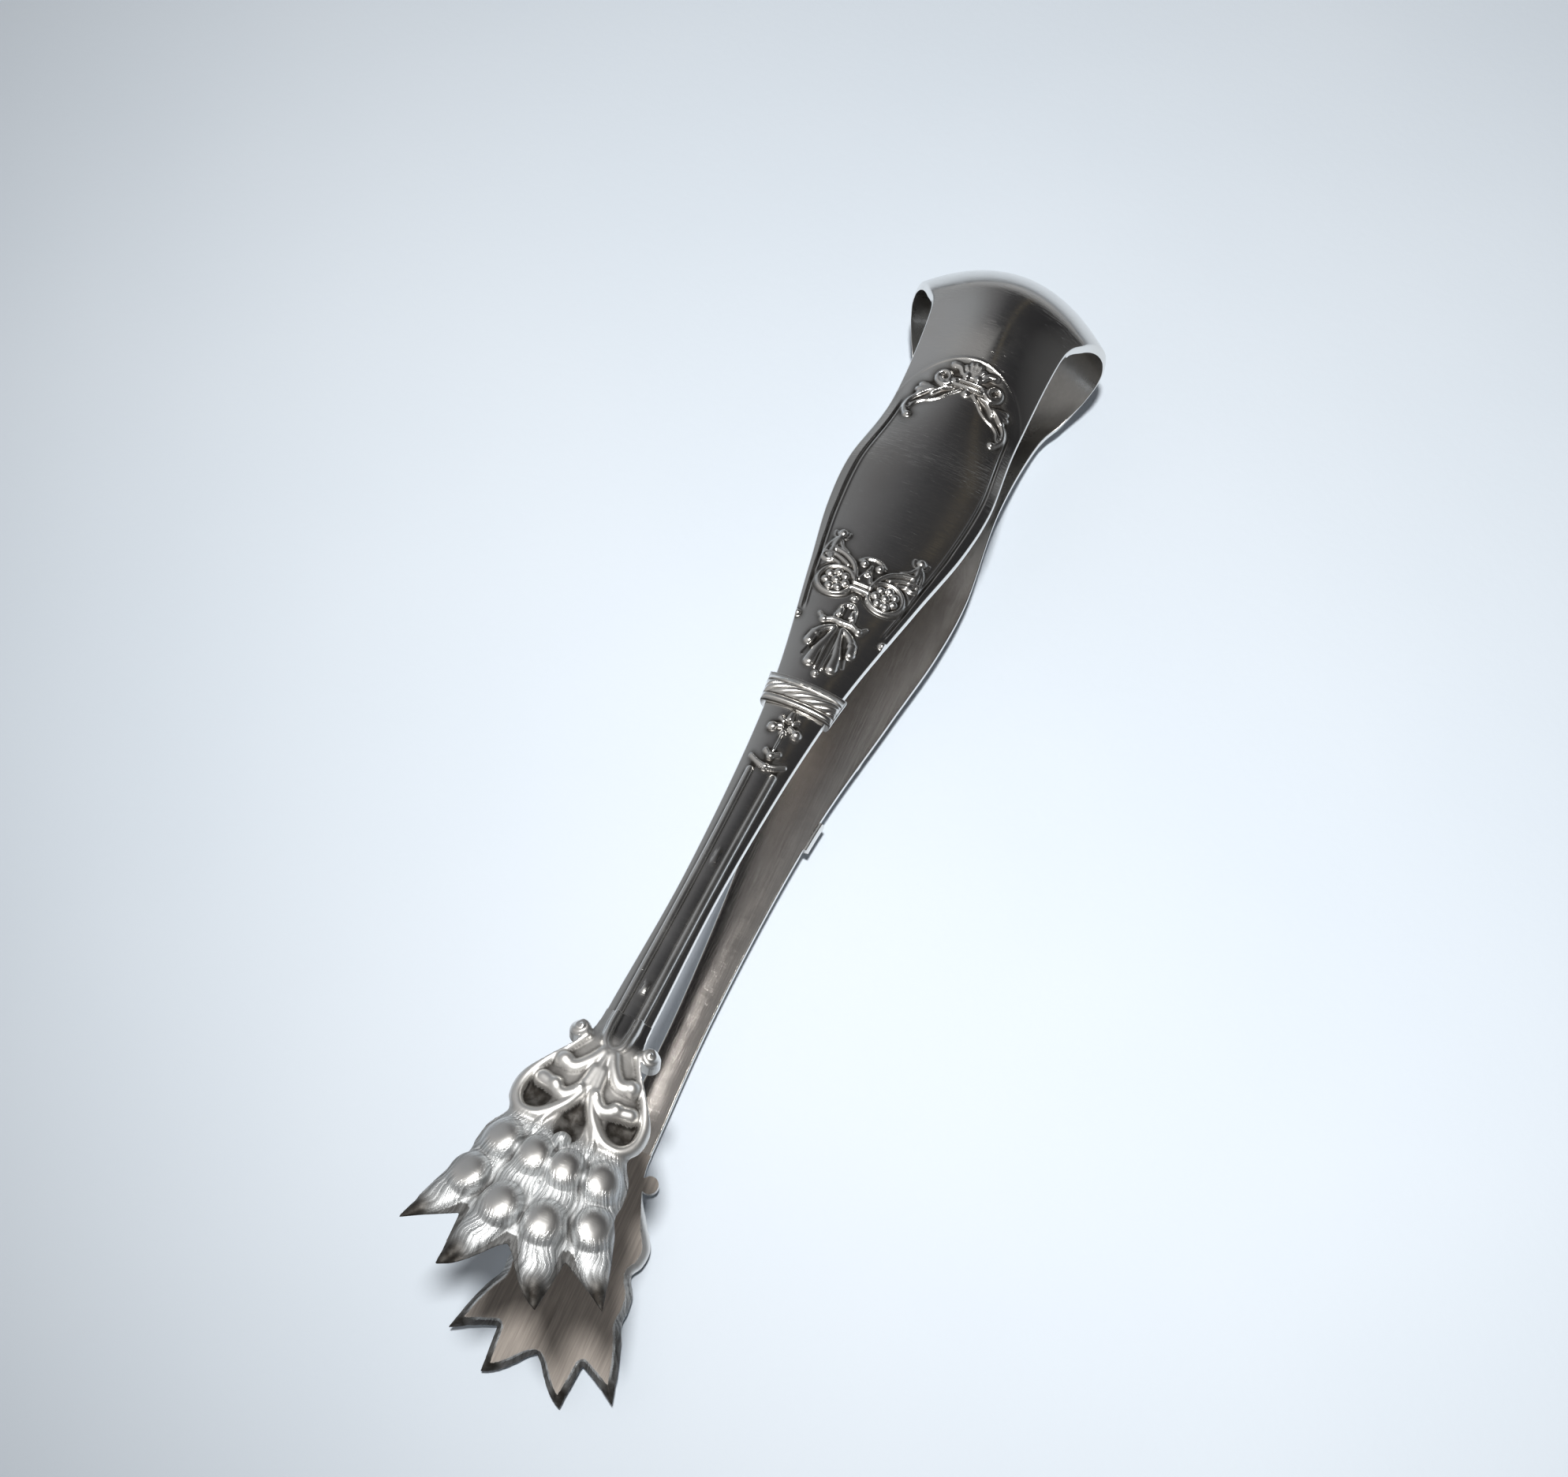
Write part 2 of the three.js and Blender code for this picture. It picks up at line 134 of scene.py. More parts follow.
def between(low, high, share):
    """Value at a share of the way from low to high."""
    return low + (high - low) * share


def bow_section(degrees):
    """Back, rise, width and camber on the bow at an angle from its crown."""
    angle = math.radians(degrees)
    c = math.cos(angle)
    width, camber = (between(low, high, c) for low, high in zip(TOP, CROWN))
    return BOW_RADIUS * (1 - c), BOW_RADIUS * math.sin(angle), width, camber


bow_sections = [bow_section(degrees) for degrees in BOW_ANGLES]
lead_in = [(back, -rise, width, camber) for back, rise, width, camber in bow_sections[2:0:-1]]
sections = lead_in + bow_sections + [NECK, HANDLE, BELLY, TAPER, COLLAR, STEM, ANKLE]
LEAD = len(lead_in)
centre_line = Spline([(0, -back, rise) for back, rise, _, _ in sections])
size_line = Spline([(width / 2, -back, camber) for back, _, width, camber in sections])

# Length along the centre line from the crown, against the curve's own parameter.
parameters = np.linspace(LEAD, len(sections) - 1, LINE_SAMPLES)
line_points = centre_line.at(parameters)
steps = np.linalg.norm(np.diff(line_points, axis=0), axis=1)
arc_lengths = np.concatenate([[0], np.cumsum(steps)])
ARC_ANKLE = arc_lengths[-1]


def arc_at_back(back):
    """Length along the strip from the crown to a place on an arm, given how far back that is."""
    past_top = arc_lengths > BOW_RADIUS
    return float(np.interp(back, -line_points[past_top, 1], arc_lengths[past_top]))


ARC_SEAM = arc_at_back(SEAM_BACK)


def strip_frames(arc):
    """Centre, direction, outward normal, half width and camber of the strip at lengths from the crown."""
    t = np.interp(arc, arc_lengths, parameters)
    along = centre_line.at(t + NUDGE) - centre_line.at(t - NUDGE)
    along /= np.linalg.norm(along, axis=1, keepdims=True)
    out = np.stack([np.zeros(len(t)), along[:, 2], -along[:, 1]], axis=1)
    size = size_line.at(t)
    return centre_line.at(t), along, out, size[:, 0], size[:, 2]


paw_centre, paw_along, paw_out, _, _ = (v[0] for v in strip_frames(np.array([ARC_ANKLE])))


def paw_face(across):
    """Dish of the paw across its width; it levels out towards the outer claws."""
    square = np.asarray(across, float) ** 2
    levelled = (1 + (square / PAW_LEVEL ** 2) ** LEVEL_POWER) ** (1 / LEVEL_POWER)
    return -PAW_HOLLOW * square / levelled


# The tongs lie on the lower arm: the table touches the bow and the knuckles of the lower paw.

def lying_frame():
    """Turn about X and shift that take the tongs' own frame to the model's."""
    knuckle_out = KNUCKLE_TOP - PAW_HOLLOW * REST_KNUCKLE[0] ** 2
    rest = paw_centre + paw_along * REST_KNUCKLE[1] + paw_out * knuckle_out
    rest_y, rest_z = rest[1], -rest[2]
    away_y, away_z = -BOW_RADIUS - rest_y, -rest_z
    tilt = math.atan2(away_z, away_y) - math.asin(BOW_RADIUS / math.hypot(away_y, away_z))
    turn = np.array(Matrix.Rotation(-tilt, 3, "X"))
    height = (turn @ np.array([0, rest_y, rest_z]))[2] + WEAR
    crown_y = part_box("bow_crown")[1].y / MM
    shift = np.array([0, crown_y - BOW_RADIUS * (1 - math.cos(tilt)), -height])
    return turn, shift


LYING_TURN, LYING_SHIFT = lying_frame()


def lay_down(points, side):
    """Points of the upper arm's frame, in the model's frame; the lower side is the mirror image."""
    p = np.array(points, float).reshape(-1, 3)
    p[:, 2] *= side
    p = p @ LYING_TURN.T + LYING_SHIFT
    p[:, 2] = np.maximum(p[:, 2], 0)
    return p


# Mesh helpers.

def signed_volume(points, faces):
    """Six times the volume inside the faces, less than nothing where they point in."""
    total = 0.0
    for size in {len(f) for f in faces}:
        group = np.array([f for f in faces if len(f) == size])
        a = points[group[:, 0]]
        for k in range(1, size - 1):
            total += np.einsum("ij,ij->", a, np.cross(points[group[:, k]], points[group[:, k + 1]]))
    return total


def tube(centre, out, across, outwards):
    """Points, quads and end caps of a closed tube; its rows are loops across a line and out from it."""
    rows, loop = across.shape
    points = centre[:, None, :] + out[:, None, :] * outwards[..., None]
    points[..., 0] = across
    index = np.arange(rows * loop).reshape(rows, loop)
    right = np.roll(index, -1, axis=1)
    quads = np.stack([index[:-1], right[:-1], right[1:], index[1:]], axis=-1).reshape(-1, 4)
    caps = [index[0][::-1].tolist(), index[-1].tolist()]
    return points.reshape(-1, 3), quads.tolist(), caps


def in_scene(name, data):
    """Object with this mesh, light or camera, linked to the scene."""
    thing = bpy.data.objects.new(name, data)
    bpy.context.scene.collection.objects.link(thing)
    return thing


def make_piece(name, side, geometry, material):
    """Mesh object of a piece, laid down on its side of the tongs, with all its faces pointing out."""
    points, faces, flat_faces, attributes = geometry
    points = lay_down(points, side)
    every = faces + flat_faces
    if signed_volume(points, every) < 0:
        every = [f[::-1] for f in every]
    mesh = bpy.data.meshes.new(name)
    mesh.from_pydata((points * MM).tolist(), [], every)
    shaded = np.ones(len(every), bool)
    shaded[len(faces):] = False
    mesh.polygons.foreach_set("use_smooth", shaded)
    ends = np.zeros(len(mesh.edges) * 2, np.int32)
    mesh.edges.foreach_get("vertices", ends)
    sharp = np.zeros(len(mesh.edges), bool)
    for face in flat_faces:
        sharp |= np.isin(ends.reshape(-1, 2), face).all(axis=1)
    mesh.attributes.new("sharp_edge", "BOOLEAN", "EDGE").data.foreach_set("value", sharp)
    for key, values in attributes.items():
        layer = mesh.attributes.new(key, "FLOAT", "POINT")
        layer.data.foreach_set("value", np.asarray(values, np.float32).ravel())
    mesh.materials.append(material)
    mesh.update()
    piece = in_scene(name, mesh)
    return piece


def blurred(field, radius, passes=2):
    """Box blur of an array along each of its axes, with its border held."""
    out = np.asarray(field, np.float32)
    width = 2 * radius + 1
    for _ in range(passes):
        for axis in range(out.ndim):
            pad = [(radius + 1, radius) if k == axis else (0, 0) for k in range(out.ndim)]
            total = np.cumsum(np.pad(out, pad, mode="edge"), axis=axis, dtype=np.float64)
            ahead = np.take(total, range(width, total.shape[axis]), axis=axis)
            behind = np.take(total, range(total.shape[axis] - width), axis=axis)
            out = ((ahead - behind) / width).astype(np.float32)
    return out


# Ornament struck into the arms.

# A round band is a row of beads, which lie this share of its least half width apart. The length of a
# band is measured in steps, and a ring has one more point for each of these turns in degrees.
BEAD_SPACING = 0.22
LEAST_BEADS = 4
LENGTH_STEPS = 40
LEAST_RING = 4
RING_TURN = 30


class Relief:
    """Heights over one half of a symmetrical face; the other half mirrors it. Millimetres."""

    def __init__(self, across, along, height=0.0, base=0.0):
        self.across = across
        self.along = along
        self.height = np.zeros_like(across) + height
        self.base = base

    def bead(self, x, y, radius, height, long=1.0, power=2.0):
        """Dome of an oval bead that rises from the base; long stretches it and power flattens its top."""
        reach = radius * long
        first, last = np.searchsorted(self.along, (y - reach, y + reach))
        dx = self.across[first:last] - x
        dy = (self.along[first:last, None] - y) / long
        left = np.clip(1 - (np.hypot(dx, dy) / radius) ** power, 0, 1)
        dome = np.where(left > 0, between(self.base, height, left ** (1 / power)), 0)
        np.maximum(self.height[first:last], dome, out=self.height[first:last])

    def chain(self, stations):
        """Round band through stations of across, along, half width and height."""
        path = Spline(stations)
        line = path.sample(LENGTH_STEPS)[:, :2]
        length = np.linalg.norm(np.diff(line, axis=0), axis=1).sum()
        spacing = BEAD_SPACING * min(width for _, _, width, _ in stations)
        for x, y, width, height in path.sample(max(LEAST_BEADS, int(length / spacing))):
            self.bead(x, y, width, height)

    def stroke(self, points, width, height, end_width=None, end_height=None):
        """Round band along a curve, from one half width and height to another."""
        widths = np.linspace(width, width if end_width is None else end_width, len(points))
        heights = np.linspace(height, height if end_height is None else end_height, len(points))
        self.chain([(x, y, w, h) for (x, y), w, h in zip(points, widths, heights)])

    def ring(self, x, y, radius, width, height, start=0.0, end=360.0, end_radius=None):
        """Arc or spiral of a round band; angles run from the across axis towards the claws."""
        end_radius = radius if end_radius is None else end_radius
        turn = np.radians(np.linspace(start, end, LEAST_RING + int(abs(end - start) / RING_TURN)))
        reach = np.linspace(radius, end_radius, len(turn))
        self.stroke(np.stack([x + reach * np.cos(turn), y + reach * np.sin(turn)], 1), width, height)

    def carve(self, cuts):
        """Takes another relief's heights off this one."""
        self.height = self.height - cuts.height


# The ornament is drawn in places across and lengths along the arm, in millimetres, on which
# the collar's middle has this number. Half widths and heights of its bands and beads follow the places.
COLLAR_MARK = 87.2
ARCH_APEX = 28.7
ARCH_FOOT = 40.0
ARCH_HALF = 9.15
ARCH_LINE_HEIGHT = 0.055
ARCH_LINE_WIDTH = 0.15
ARCH_LINE_INSET = 1.3 * ARCH_LINE_WIDTH
ARCH_LINE_END = (35.5, 39.0)
BORDER_WIDTH = 1.25
BORDER_HEIGHT = 0.14
BORDER_BEVEL = 0.1
BORDER_END = 75.6
BORDER_FADE = 2.0
BORDER_TAPER = (52.0, 74.0)
BORDER_END_WIDTH = 0.6
GROOVE_START = (36.0, 39.5)
GROOVE_DEPTH = 0.17
GROOVE_WIDTH = 0.12
REED_HEIGHT = 0.09
REED_WIDTH = 0.14


def panel_border(across, along, half):
    """Flat rim of the handle panel with a groove inside it: an arch that runs on down both edges."""
    y = along[:, None]
    from_edge = half[:, None] - across
    rise = np.clip(ARCH_FOOT - y, 0, None) / (ARCH_FOOT - ARCH_APEX)
    level = np.hypot(across / ARCH_HALF, rise) + TINY
    slope_x = across / ARCH_HALF ** 2 / level
    slope_y = rise / (ARCH_FOOT - ARCH_APEX) / level
    from_arch = (1 - level) / (np.hypot(slope_x, slope_y) + TINY)
    inset = np.where(y < ARCH_FOOT, np.minimum(from_arch, from_edge), from_edge)
    width = between(BORDER_WIDTH, BORDER_END_WIDTH, smooth(y, *BORDER_TAPER))
    fade = 1 - smooth(y, BORDER_END - BORDER_FADE, BORDER_END)

    def line(at, breadth):
        return np.exp(-((inset - at) / breadth) ** 2)

    lines = smooth(y, *GROOVE_START)
    band = np.clip(inset / width, 0, 1) * (1 - smooth(inset, width - BORDER_BEVEL, width))
    groove = lines * line(width + GROOVE_WIDTH, GROOVE_WIDTH)
    reed = lines * line(width + 2 * GROOVE_WIDTH + REED_WIDTH, REED_WIDTH)
    arch = line(ARCH_LINE_INSET, ARCH_LINE_WIDTH) * (1 - smooth(y, *ARCH_LINE_END))
    edge = BORDER_HEIGHT * lines * band - GROOVE_DEPTH * groove + REED_HEIGHT * reed
    return ARCH_LINE_HEIGHT * arch + fade * edge


def crest(relief, cuts):
    """Shell, scrolls and leaves under the arch of the panel."""
    cuts.chain([(1.6, 33.75, 0.2, 0.1), (2.75, 34.65, 0.6, 0.24), (3.95, 35.7, 0.22, 0.1)])
    for tip in ((0.0, 29.65), (0.6, 29.8), (1.15, 30.3)):
        relief.stroke([(tip[0] * 0.3, 31.6), tip], 0.24, 0.26, 0.36, 0.36)
    relief.bead(0.75, 31.5, 0.52, 0.46)
    relief.stroke([(1.35, 31.3), (1.9, 30.55), (2.75, 30.45)], 0.36, 0.34, 0.5, 0.4)
    relief.stroke([(0, 32.2), (1.8, 32.2)], 0.18, 0.3)
    relief.stroke([(0, 32.95), (1.8, 32.95)], 0.26, 0.42)
    relief.bead(1.95, 32.55, 0.46, 0.42)
    relief.bead(0, 33.7, 0.5, 0.24)
    relief.ring(3.35, 32.45, 1.1, 0.3, 0.42, 150, -330, 0.5)
    relief.bead(3.3, 33.4, 0.62, 0.46, 0.75)
    inner_arch = [(0.9, 33.5), (1.9, 34.4), (2.8, 35.4), (3.9, 36.1), (5.1, 36.55), (6.1, 37.4)]
    relief.stroke(inner_arch, 0.16, 0.24)
    relief.stroke([(1.9, 33.55), (3.1, 34.0), (4.15, 35.0)], 0.16, 0.24)
    for tip in ((5.6, 34.15), (5.85, 34.85), (5.55, 35.5)):
        relief.stroke([(4.0, 34.35), (4.8, (34.2 + tip[1]) / 2), tip], 0.26, 0.3, 0.42, 0.42)
    relief.stroke([(5.4, 35.4), (6.35, 36.6), (6.5, 38.0), (6.0, 39.05)], 0.28, 0.34, 0.34, 0.4)
    relief.stroke([(4.6, 36.3), (5.5, 37.0), (6.0, 38.1)], 0.18, 0.26)
    relief.bead(5.7, 39.2, 0.52, 0.5)


ROSETTE = (3.1, 69.85)
ROSETTE_RINGS = ((0, 1, 0.58), (1.2, 7, 0.54))


def rosettes(relief, cuts):
    """Two scrolls with berry centres, the plumes above them and the bars that link them."""
    x, y = ROSETTE
    cuts.ring(x, y, 2.62, 0.22, 0.12, -140, 160)
    relief.ring(x, y, 2.1, 0.27, 0.3, -150, 170)
    for radius, count, size in ROSETTE_RINGS:
        for k in range(count):
            turn = 2 * math.pi * k / count + radius
            relief.bead(x + radius * math.cos(turn), y + radius * math.sin(turn), size, 0.46)
    relief.stroke([(4.9, 65.2), (3.4, 65.75), (2.1, 66.7), (1.3, 68.1), (1.0, 69.4)], 0.36, 0.36, 0.24, 0.3)
    relief.stroke([(5.1, 65.95), (3.7, 66.5), (2.6, 67.2)], 0.24, 0.28)
    relief.stroke([(5.3, 66.7), (4.4, 67.0), (3.6, 67.35)], 0.2, 0.25)
    relief.ring(5.25, 66.7, 0.75, 0.22, 0.32, -90, 300, 0.3)
    relief.bead(5.0, 62.75, 0.62, 0.56)
    relief.ring(5.0, 62.8, 0.9, 0.14, 0.2, -20, 200)
    relief.stroke([(5.0, 63.2), (5.15, 64.3), (5.2, 65.6)], 0.38, 0.36)
    relief.stroke([(4.7, 63.9), (4.3, 64.7), (3.4, 65.4)], 0.22, 0.28)
    relief.stroke([(5.5, 63.8), (5.85, 64.9), (5.95, 66.3)], 0.2, 0.26)
    relief.bead(0.95, 66.15, 0.48, 0.44)
    relief.bead(0, 67.6, 0.4, 0.42)
    relief.stroke([(0, 65.05), (0.8, 65.25), (1.55, 65.9)], 0.18, 0.22)
    relief.stroke([(0, 66.2), (0.15, 67.0), (0.7, 68.6)], 0.18, 0.22)
    relief.stroke([(0, 69.35), (1.0, 69.35)], 0.17, 0.28)
    relief.stroke([(0, 70.3), (1.05, 70.3)], 0.34, 0.44)
    relief.bead(0, 71.75, 0.42, 0.42)
    relief.bead(0, 72.9, 0.28, 0.36)
    relief.bead(5.3, 76.1, 0.5, 0.48)


def palmette(relief, cuts):
    """Drooping palmette between the rosettes and the collar."""
    cuts.chain([(0, 77.0, 0.22, 0.06), (0, 79.6, 0.34, 0.16), (0, 82.8, 0.26, 0.08)])
    cuts.chain([(0.8, 77.4, 0.2, 0.08), (1.75, 79.4, 0.26, 0.14), (2.35, 81.4, 0.24, 0.12)])
    relief.stroke([(0.15, 72.6), (0.85, 73.4), (1.15, 75.0)], 0.2, 0.24)
    relief.bead(0.72, 74.2, 0.4, 0.46, 2.0)
    relief.stroke([(0.2, 75.6), (1.2, 75.55), (2.1, 75.9), (2.85, 75.2)], 0.42, 0.38, 0.2, 0.26)
    relief.bead(2.15, 75.9, 0.46, 0.42)
    relief.stroke([(0.5, 76.5), (1.6, 77.2), (2.3, 78.2), (2.5, 79.3)], 0.34, 0.3, 0.6, 0.44)
    relief.bead(2.25, 78.2, 0.62, 0.45)
    relief.bead(2.5, 79.4, 0.58, 0.46)
    relief.stroke([(0.35, 76.7), (0.75, 78.6), (1.2, 80.4), (1.35, 82.1)], 0.28, 0.28, 0.68, 0.46)
    relief.bead(1.35, 82.2, 0.66, 0.48)
    relief.stroke([(0.32, 77.0), (0.46, 79.6), (0.38, 82.8)], 0.14, 0.26)
    relief.bead(0, 83.6, 0.42, 0.44)


RIB_OFFSET = 1.15
RIB_WIDTH = 0.42
RIB_HEIGHT = 0.4
RIB_FLARE = 0.2
RIB_TOP = 98.6
RIB_STRAIGHT = 112.0
RIB_PAST_END = 1.0


def stem_ornament(relief, cuts):
    """Floret, bud and cup under the collar, and the two ribs that run down to the paw."""
    cuts.bead(0, 91.4, 0.5, 0.12, 1.3)
    relief.bead(1.4, 92.3, 0.62, 0.52)
    relief.stroke([(0.5, 91.9), (1.1, 92.1)], 0.34, 0.36)
    relief.stroke([(0, 89.9), (0, 90.7)], 0.34, 0.38, 0.46, 0.44)
    relief.stroke([(0.55, 91.2), (0.95, 90.8)], 0.28, 0.28)
    relief.bead(0, 92.75, 0.42, 0.42)
    relief.stroke([(0, 93.0), (0, 95.4)], 0.2, 0.3)
    relief.bead(0, 96.15, 0.48, 0.48)
    relief.stroke([(0.25, 96.0), (0.75, 95.55)], 0.32, 0.4)
    relief.stroke([(0, 97.7), (1.0, 97.4), (1.95, 96.8)], 0.36, 0.46, 0.24, 0.36)
    relief.bead(0, 97.7, 0.44, 0.5)
    foot = relief.along[-1] + RIB_PAST_END
    rib = [(RIB_OFFSET + RIB_FLARE, RIB_TOP), (RIB_OFFSET, RIB_STRAIGHT), (RIB_OFFSET, foot)]
    relief.stroke(rib, RIB_WIDTH, RIB_HEIGHT)
    relief.bead(0, 110.3, 0.4, 0.14, 2.0)
    relief.bead(0, 127.2, 0.4, 0.3)


# Rows along an arm: each stretch ends at a length from the crown and has its own step.
ARM_STRETCHES = ((28.4, 0.2), (40.5, 0.1), (62.0, 0.4), (85.0, 0.09), (89.9, 0.4), (99.5, 0.1),
                 (ARC_ANKLE, 0.3))
ARM_COLUMNS = 71
UNDER_COLUMNS = 25
EDGE_STEPS = 7

# Tarnish lies where the face is lower than what is around it, within this many steps of the grid,
# and on the low ground of the ornament.
RAISED_LEAST = 0.02
RAISED_FADE = (0.05, 0.25)
ARM_AROUND = 5
ARM_RECESS_GAIN = 6
GROUND_HEIGHT = 0.12
GROUND_GAIN = 5
GROUND_DARK = 0.5

# The struck ornament is glossy under the arch and frosted from the rosettes on.
ORNAMENT_ENDS = (40.0, 64.0)
ORNAMENT_MATTE = (0.15, 0.55)

# Inner faces are satin on the arms, brighter but tarnished inside the bow.
INSIDE_BOW = 0.12
INSIDE_TARNISH = 0.55
INSIDE_DULL = 48.0


def rows_through(start, stretches):
    """Lengths of the rows from a start through stretches of even steps."""
    rows = [np.array([start])]
    for end, step in stretches:
        begin = rows[-1][-1]
        rows.append(np.linspace(begin, end, 1 + max(1, round((end - begin) / step)))[1:])
    return np.concatenate(rows)


def swept_strip(arc, columns, under, height, tarnish, matte, satin, inner_tarnish):
    """Closed skin of a length of strip: outer face with its relief, rounded edges, inner face."""
    centre, _, out, half, camber = strip_frames(arc)
    flat = (half - EDGE_BULGE)[:, None]
    drop = (camber / half ** 2)[:, None]
    top_x = flat * columns
    top_o = height - drop * top_x ** 2
    low_x = flat * under[::-1]
    low_o = -SHEET - drop * low_x ** 2
    turn = np.pi * np.arange(1, EDGE_STEPS + 1) / (EDGE_STEPS + 1)
    up_down = np.sign(np.cos(turn)) * np.abs(np.cos(turn)) ** EDGE_POWER
    bulge = EDGE_BULGE * np.sin(turn) ** EDGE_POWER
    slope = np.arctan(2 * drop * flat)
    edge_x = flat + bulge * np.cos(slope)
    edge_mid = (top_o[:, -1:] - SHEET - drop * flat ** 2) / 2
    edge_half = (top_o[:, -1:] + SHEET + drop * flat ** 2) / 2
    edge_o = edge_mid + edge_half * up_down - bulge * np.sin(slope)
    x = np.hstack([top_x, edge_x, low_x, -edge_x[:, ::-1]])
    o = np.hstack([top_o, edge_o, low_o, edge_o[:, ::-1]])
    outer = slice(0, len(columns))
    inner = slice(len(columns) + EDGE_STEPS, len(columns) + EDGE_STEPS + len(under))
    inside, darkening, dull = (np.zeros(x.shape) for _ in range(3))
    inside[:, inner] = satin[:, None]
    darkening[:, outer] = tarnish
    darkening[:, inner] = inner_tarnish[:, None]
    dull[:, outer] = matte
    return *tube(centre, out, x, o), {"inside": inside, "tarnish": darkening, "matte": dull}


def mirrored_columns(count):
    """Places from -1 to 1 across a face, with one in the middle."""
    half = np.linspace(0, 1, count)
    return np.concatenate([-half[:0:-1], half])


def arm_geometry():
    """Arm from its seam with the bow to the ankle, with the struck ornament on its outer face."""
    arc = rows_through(ARC_SEAM, ARM_STRETCHES)
    _, _, _, half, _ = strip_frames(arc)
    across = (half - EDGE_BULGE)[:, None] * np.linspace(0, 1, ARM_COLUMNS)
    along = arc - arc_at_back(COLLAR[0]) + COLLAR_MARK
    relief = Relief(across, along)
    cuts = Relief(across, along)
    for ornament in (crest, rosettes, palmette, stem_ornament):
        ornament(relief, cuts)
    raised = np.where(relief.height > RAISED_LEAST, relief.height, -cuts.height)
    height = blurred(raised, 1, passes=1) + panel_border(across, along, half)
    around = blurred(height, ARM_AROUND)
    recess = np.clip(ARM_RECESS_GAIN * (around - height), 0, 1)
    ground = np.clip(GROUND_GAIN * around, 0, 1) * (height < GROUND_HEIGHT)
    tarnish = np.clip(recess + GROUND_DARK * ground, 0, 1)
    frosted = np.interp(along, ORNAMENT_ENDS, ORNAMENT_MATTE)[:, None]
    matte = frosted * smooth(relief.height, *RAISED_FADE)
    both = [np.concatenate([a[:, :0:-1], a], axis=1) for a in (height, tarnish, matte)]
    fade = smooth(arc, ARC_SEAM, INSIDE_DULL)
    satin = between(INSIDE_BOW, 1, fade)
    under = np.linspace(-1, 1, UNDER_COLUMNS)
    return swept_strip(arc, mirrored_columns(ARM_COLUMNS), under, *both, satin, INSIDE_TARNISH * (1 - fade))


# Rows along half of the bow, from the middle of its crown to the seam.
BOW_STRETCHES = ((0.4, 0.05), (2.0, 0.2), (25.0, 0.25), (ARC_SEAM, 0.2))
BOW_COLUMNS = 41


def bow_geometry():
    """Half of the bow, from the middle of its crown to the seam with an arm."""
    arc = rows_through(0.0, BOW_STRETCHES)
    plain = np.zeros((len(arc), 2 * BOW_COLUMNS - 1))
    bright = np.full(len(arc), INSIDE_BOW)
    dark = np.full(len(arc), INSIDE_TARNISH)
    under = np.linspace(-1, 1, 2 * UNDER_COLUMNS)
    return swept_strip(arc, mirrored_columns(BOW_COLUMNS), under, plain, plain, plain, bright, dark)


# Collar: a cove, a rope and a band that stand proud and lap over the strip's edges. The heights of
# each, at its lowest and its highest, are shares of the collar's stand.
COLLAR_COVE = 1.2
COLLAR_ROPE = 1.9
COLLAR_BAND = 0.9
COLLAR_LENGTH = COLLAR_COVE + COLLAR_ROPE + COLLAR_BAND
COLLAR_STAND = 0.85
COLLAR_LAP = 0.6
COVE_HEIGHTS = (0.35, 0.9)
ROPE_HEIGHTS = (0.35, 1.15)
ROPE_STRANDS = 5
ROPE_LAY = 2.3
ROPE_ROUND = 0.5
ROPE_GROOVE = 0.55
BAND_HEIGHTS = (0.3, 0.8)
BAND_ROUND = 0.4

# Its rounded corners and ends, the tuck of its sides under the strip and its gap to the strip's edges.
COLLAR_CORNER = 12
COLLAR_END = 0.15
COLLAR_END_HEIGHT = 0.35
COLLAR_TUCK = 0.35
COLLAR_GAP = 0.02
COLLAR_ROWS = 100
COLLAR_COLUMNS = 161
COLLAR_SIDE = 9

# Tarnish on all of the collar, and more of it between the strands.
COLLAR_DARK = 0.15
COLLAR_AROUND = 6
COLLAR_RECESS_GAIN = 10


def collar_profile(v, turn):
    """Height of the collar's outer face at a distance v from its upper end and a turn across it."""
    cove = between(*COVE_HEIGHTS, np.clip(v / COLLAR_COVE, 0, 1) ** 2)
    x = np.clip((v - COLLAR_COVE) / COLLAR_ROPE, 0, 1)
    strand = np.abs(np.cos(np.pi * (turn * ROPE_STRANDS + ROPE_LAY * x))) ** ROPE_ROUND
    rope = between(*ROPE_HEIGHTS, np.sin(np.pi * x) ** ROPE_ROUND * between(ROPE_GROOVE, 1, strand))
    y = np.clip((v - COLLAR_COVE - COLLAR_ROPE) / COLLAR_BAND, 0, 1)
    band = between(*BAND_HEIGHTS, np.sin(np.pi * y) ** BAND_ROUND)
    height = np.where(v < COLLAR_COVE, cove, np.where(v < COLLAR_COVE + COLLAR_ROPE, rope, band))
    return COLLAR_STAND * height


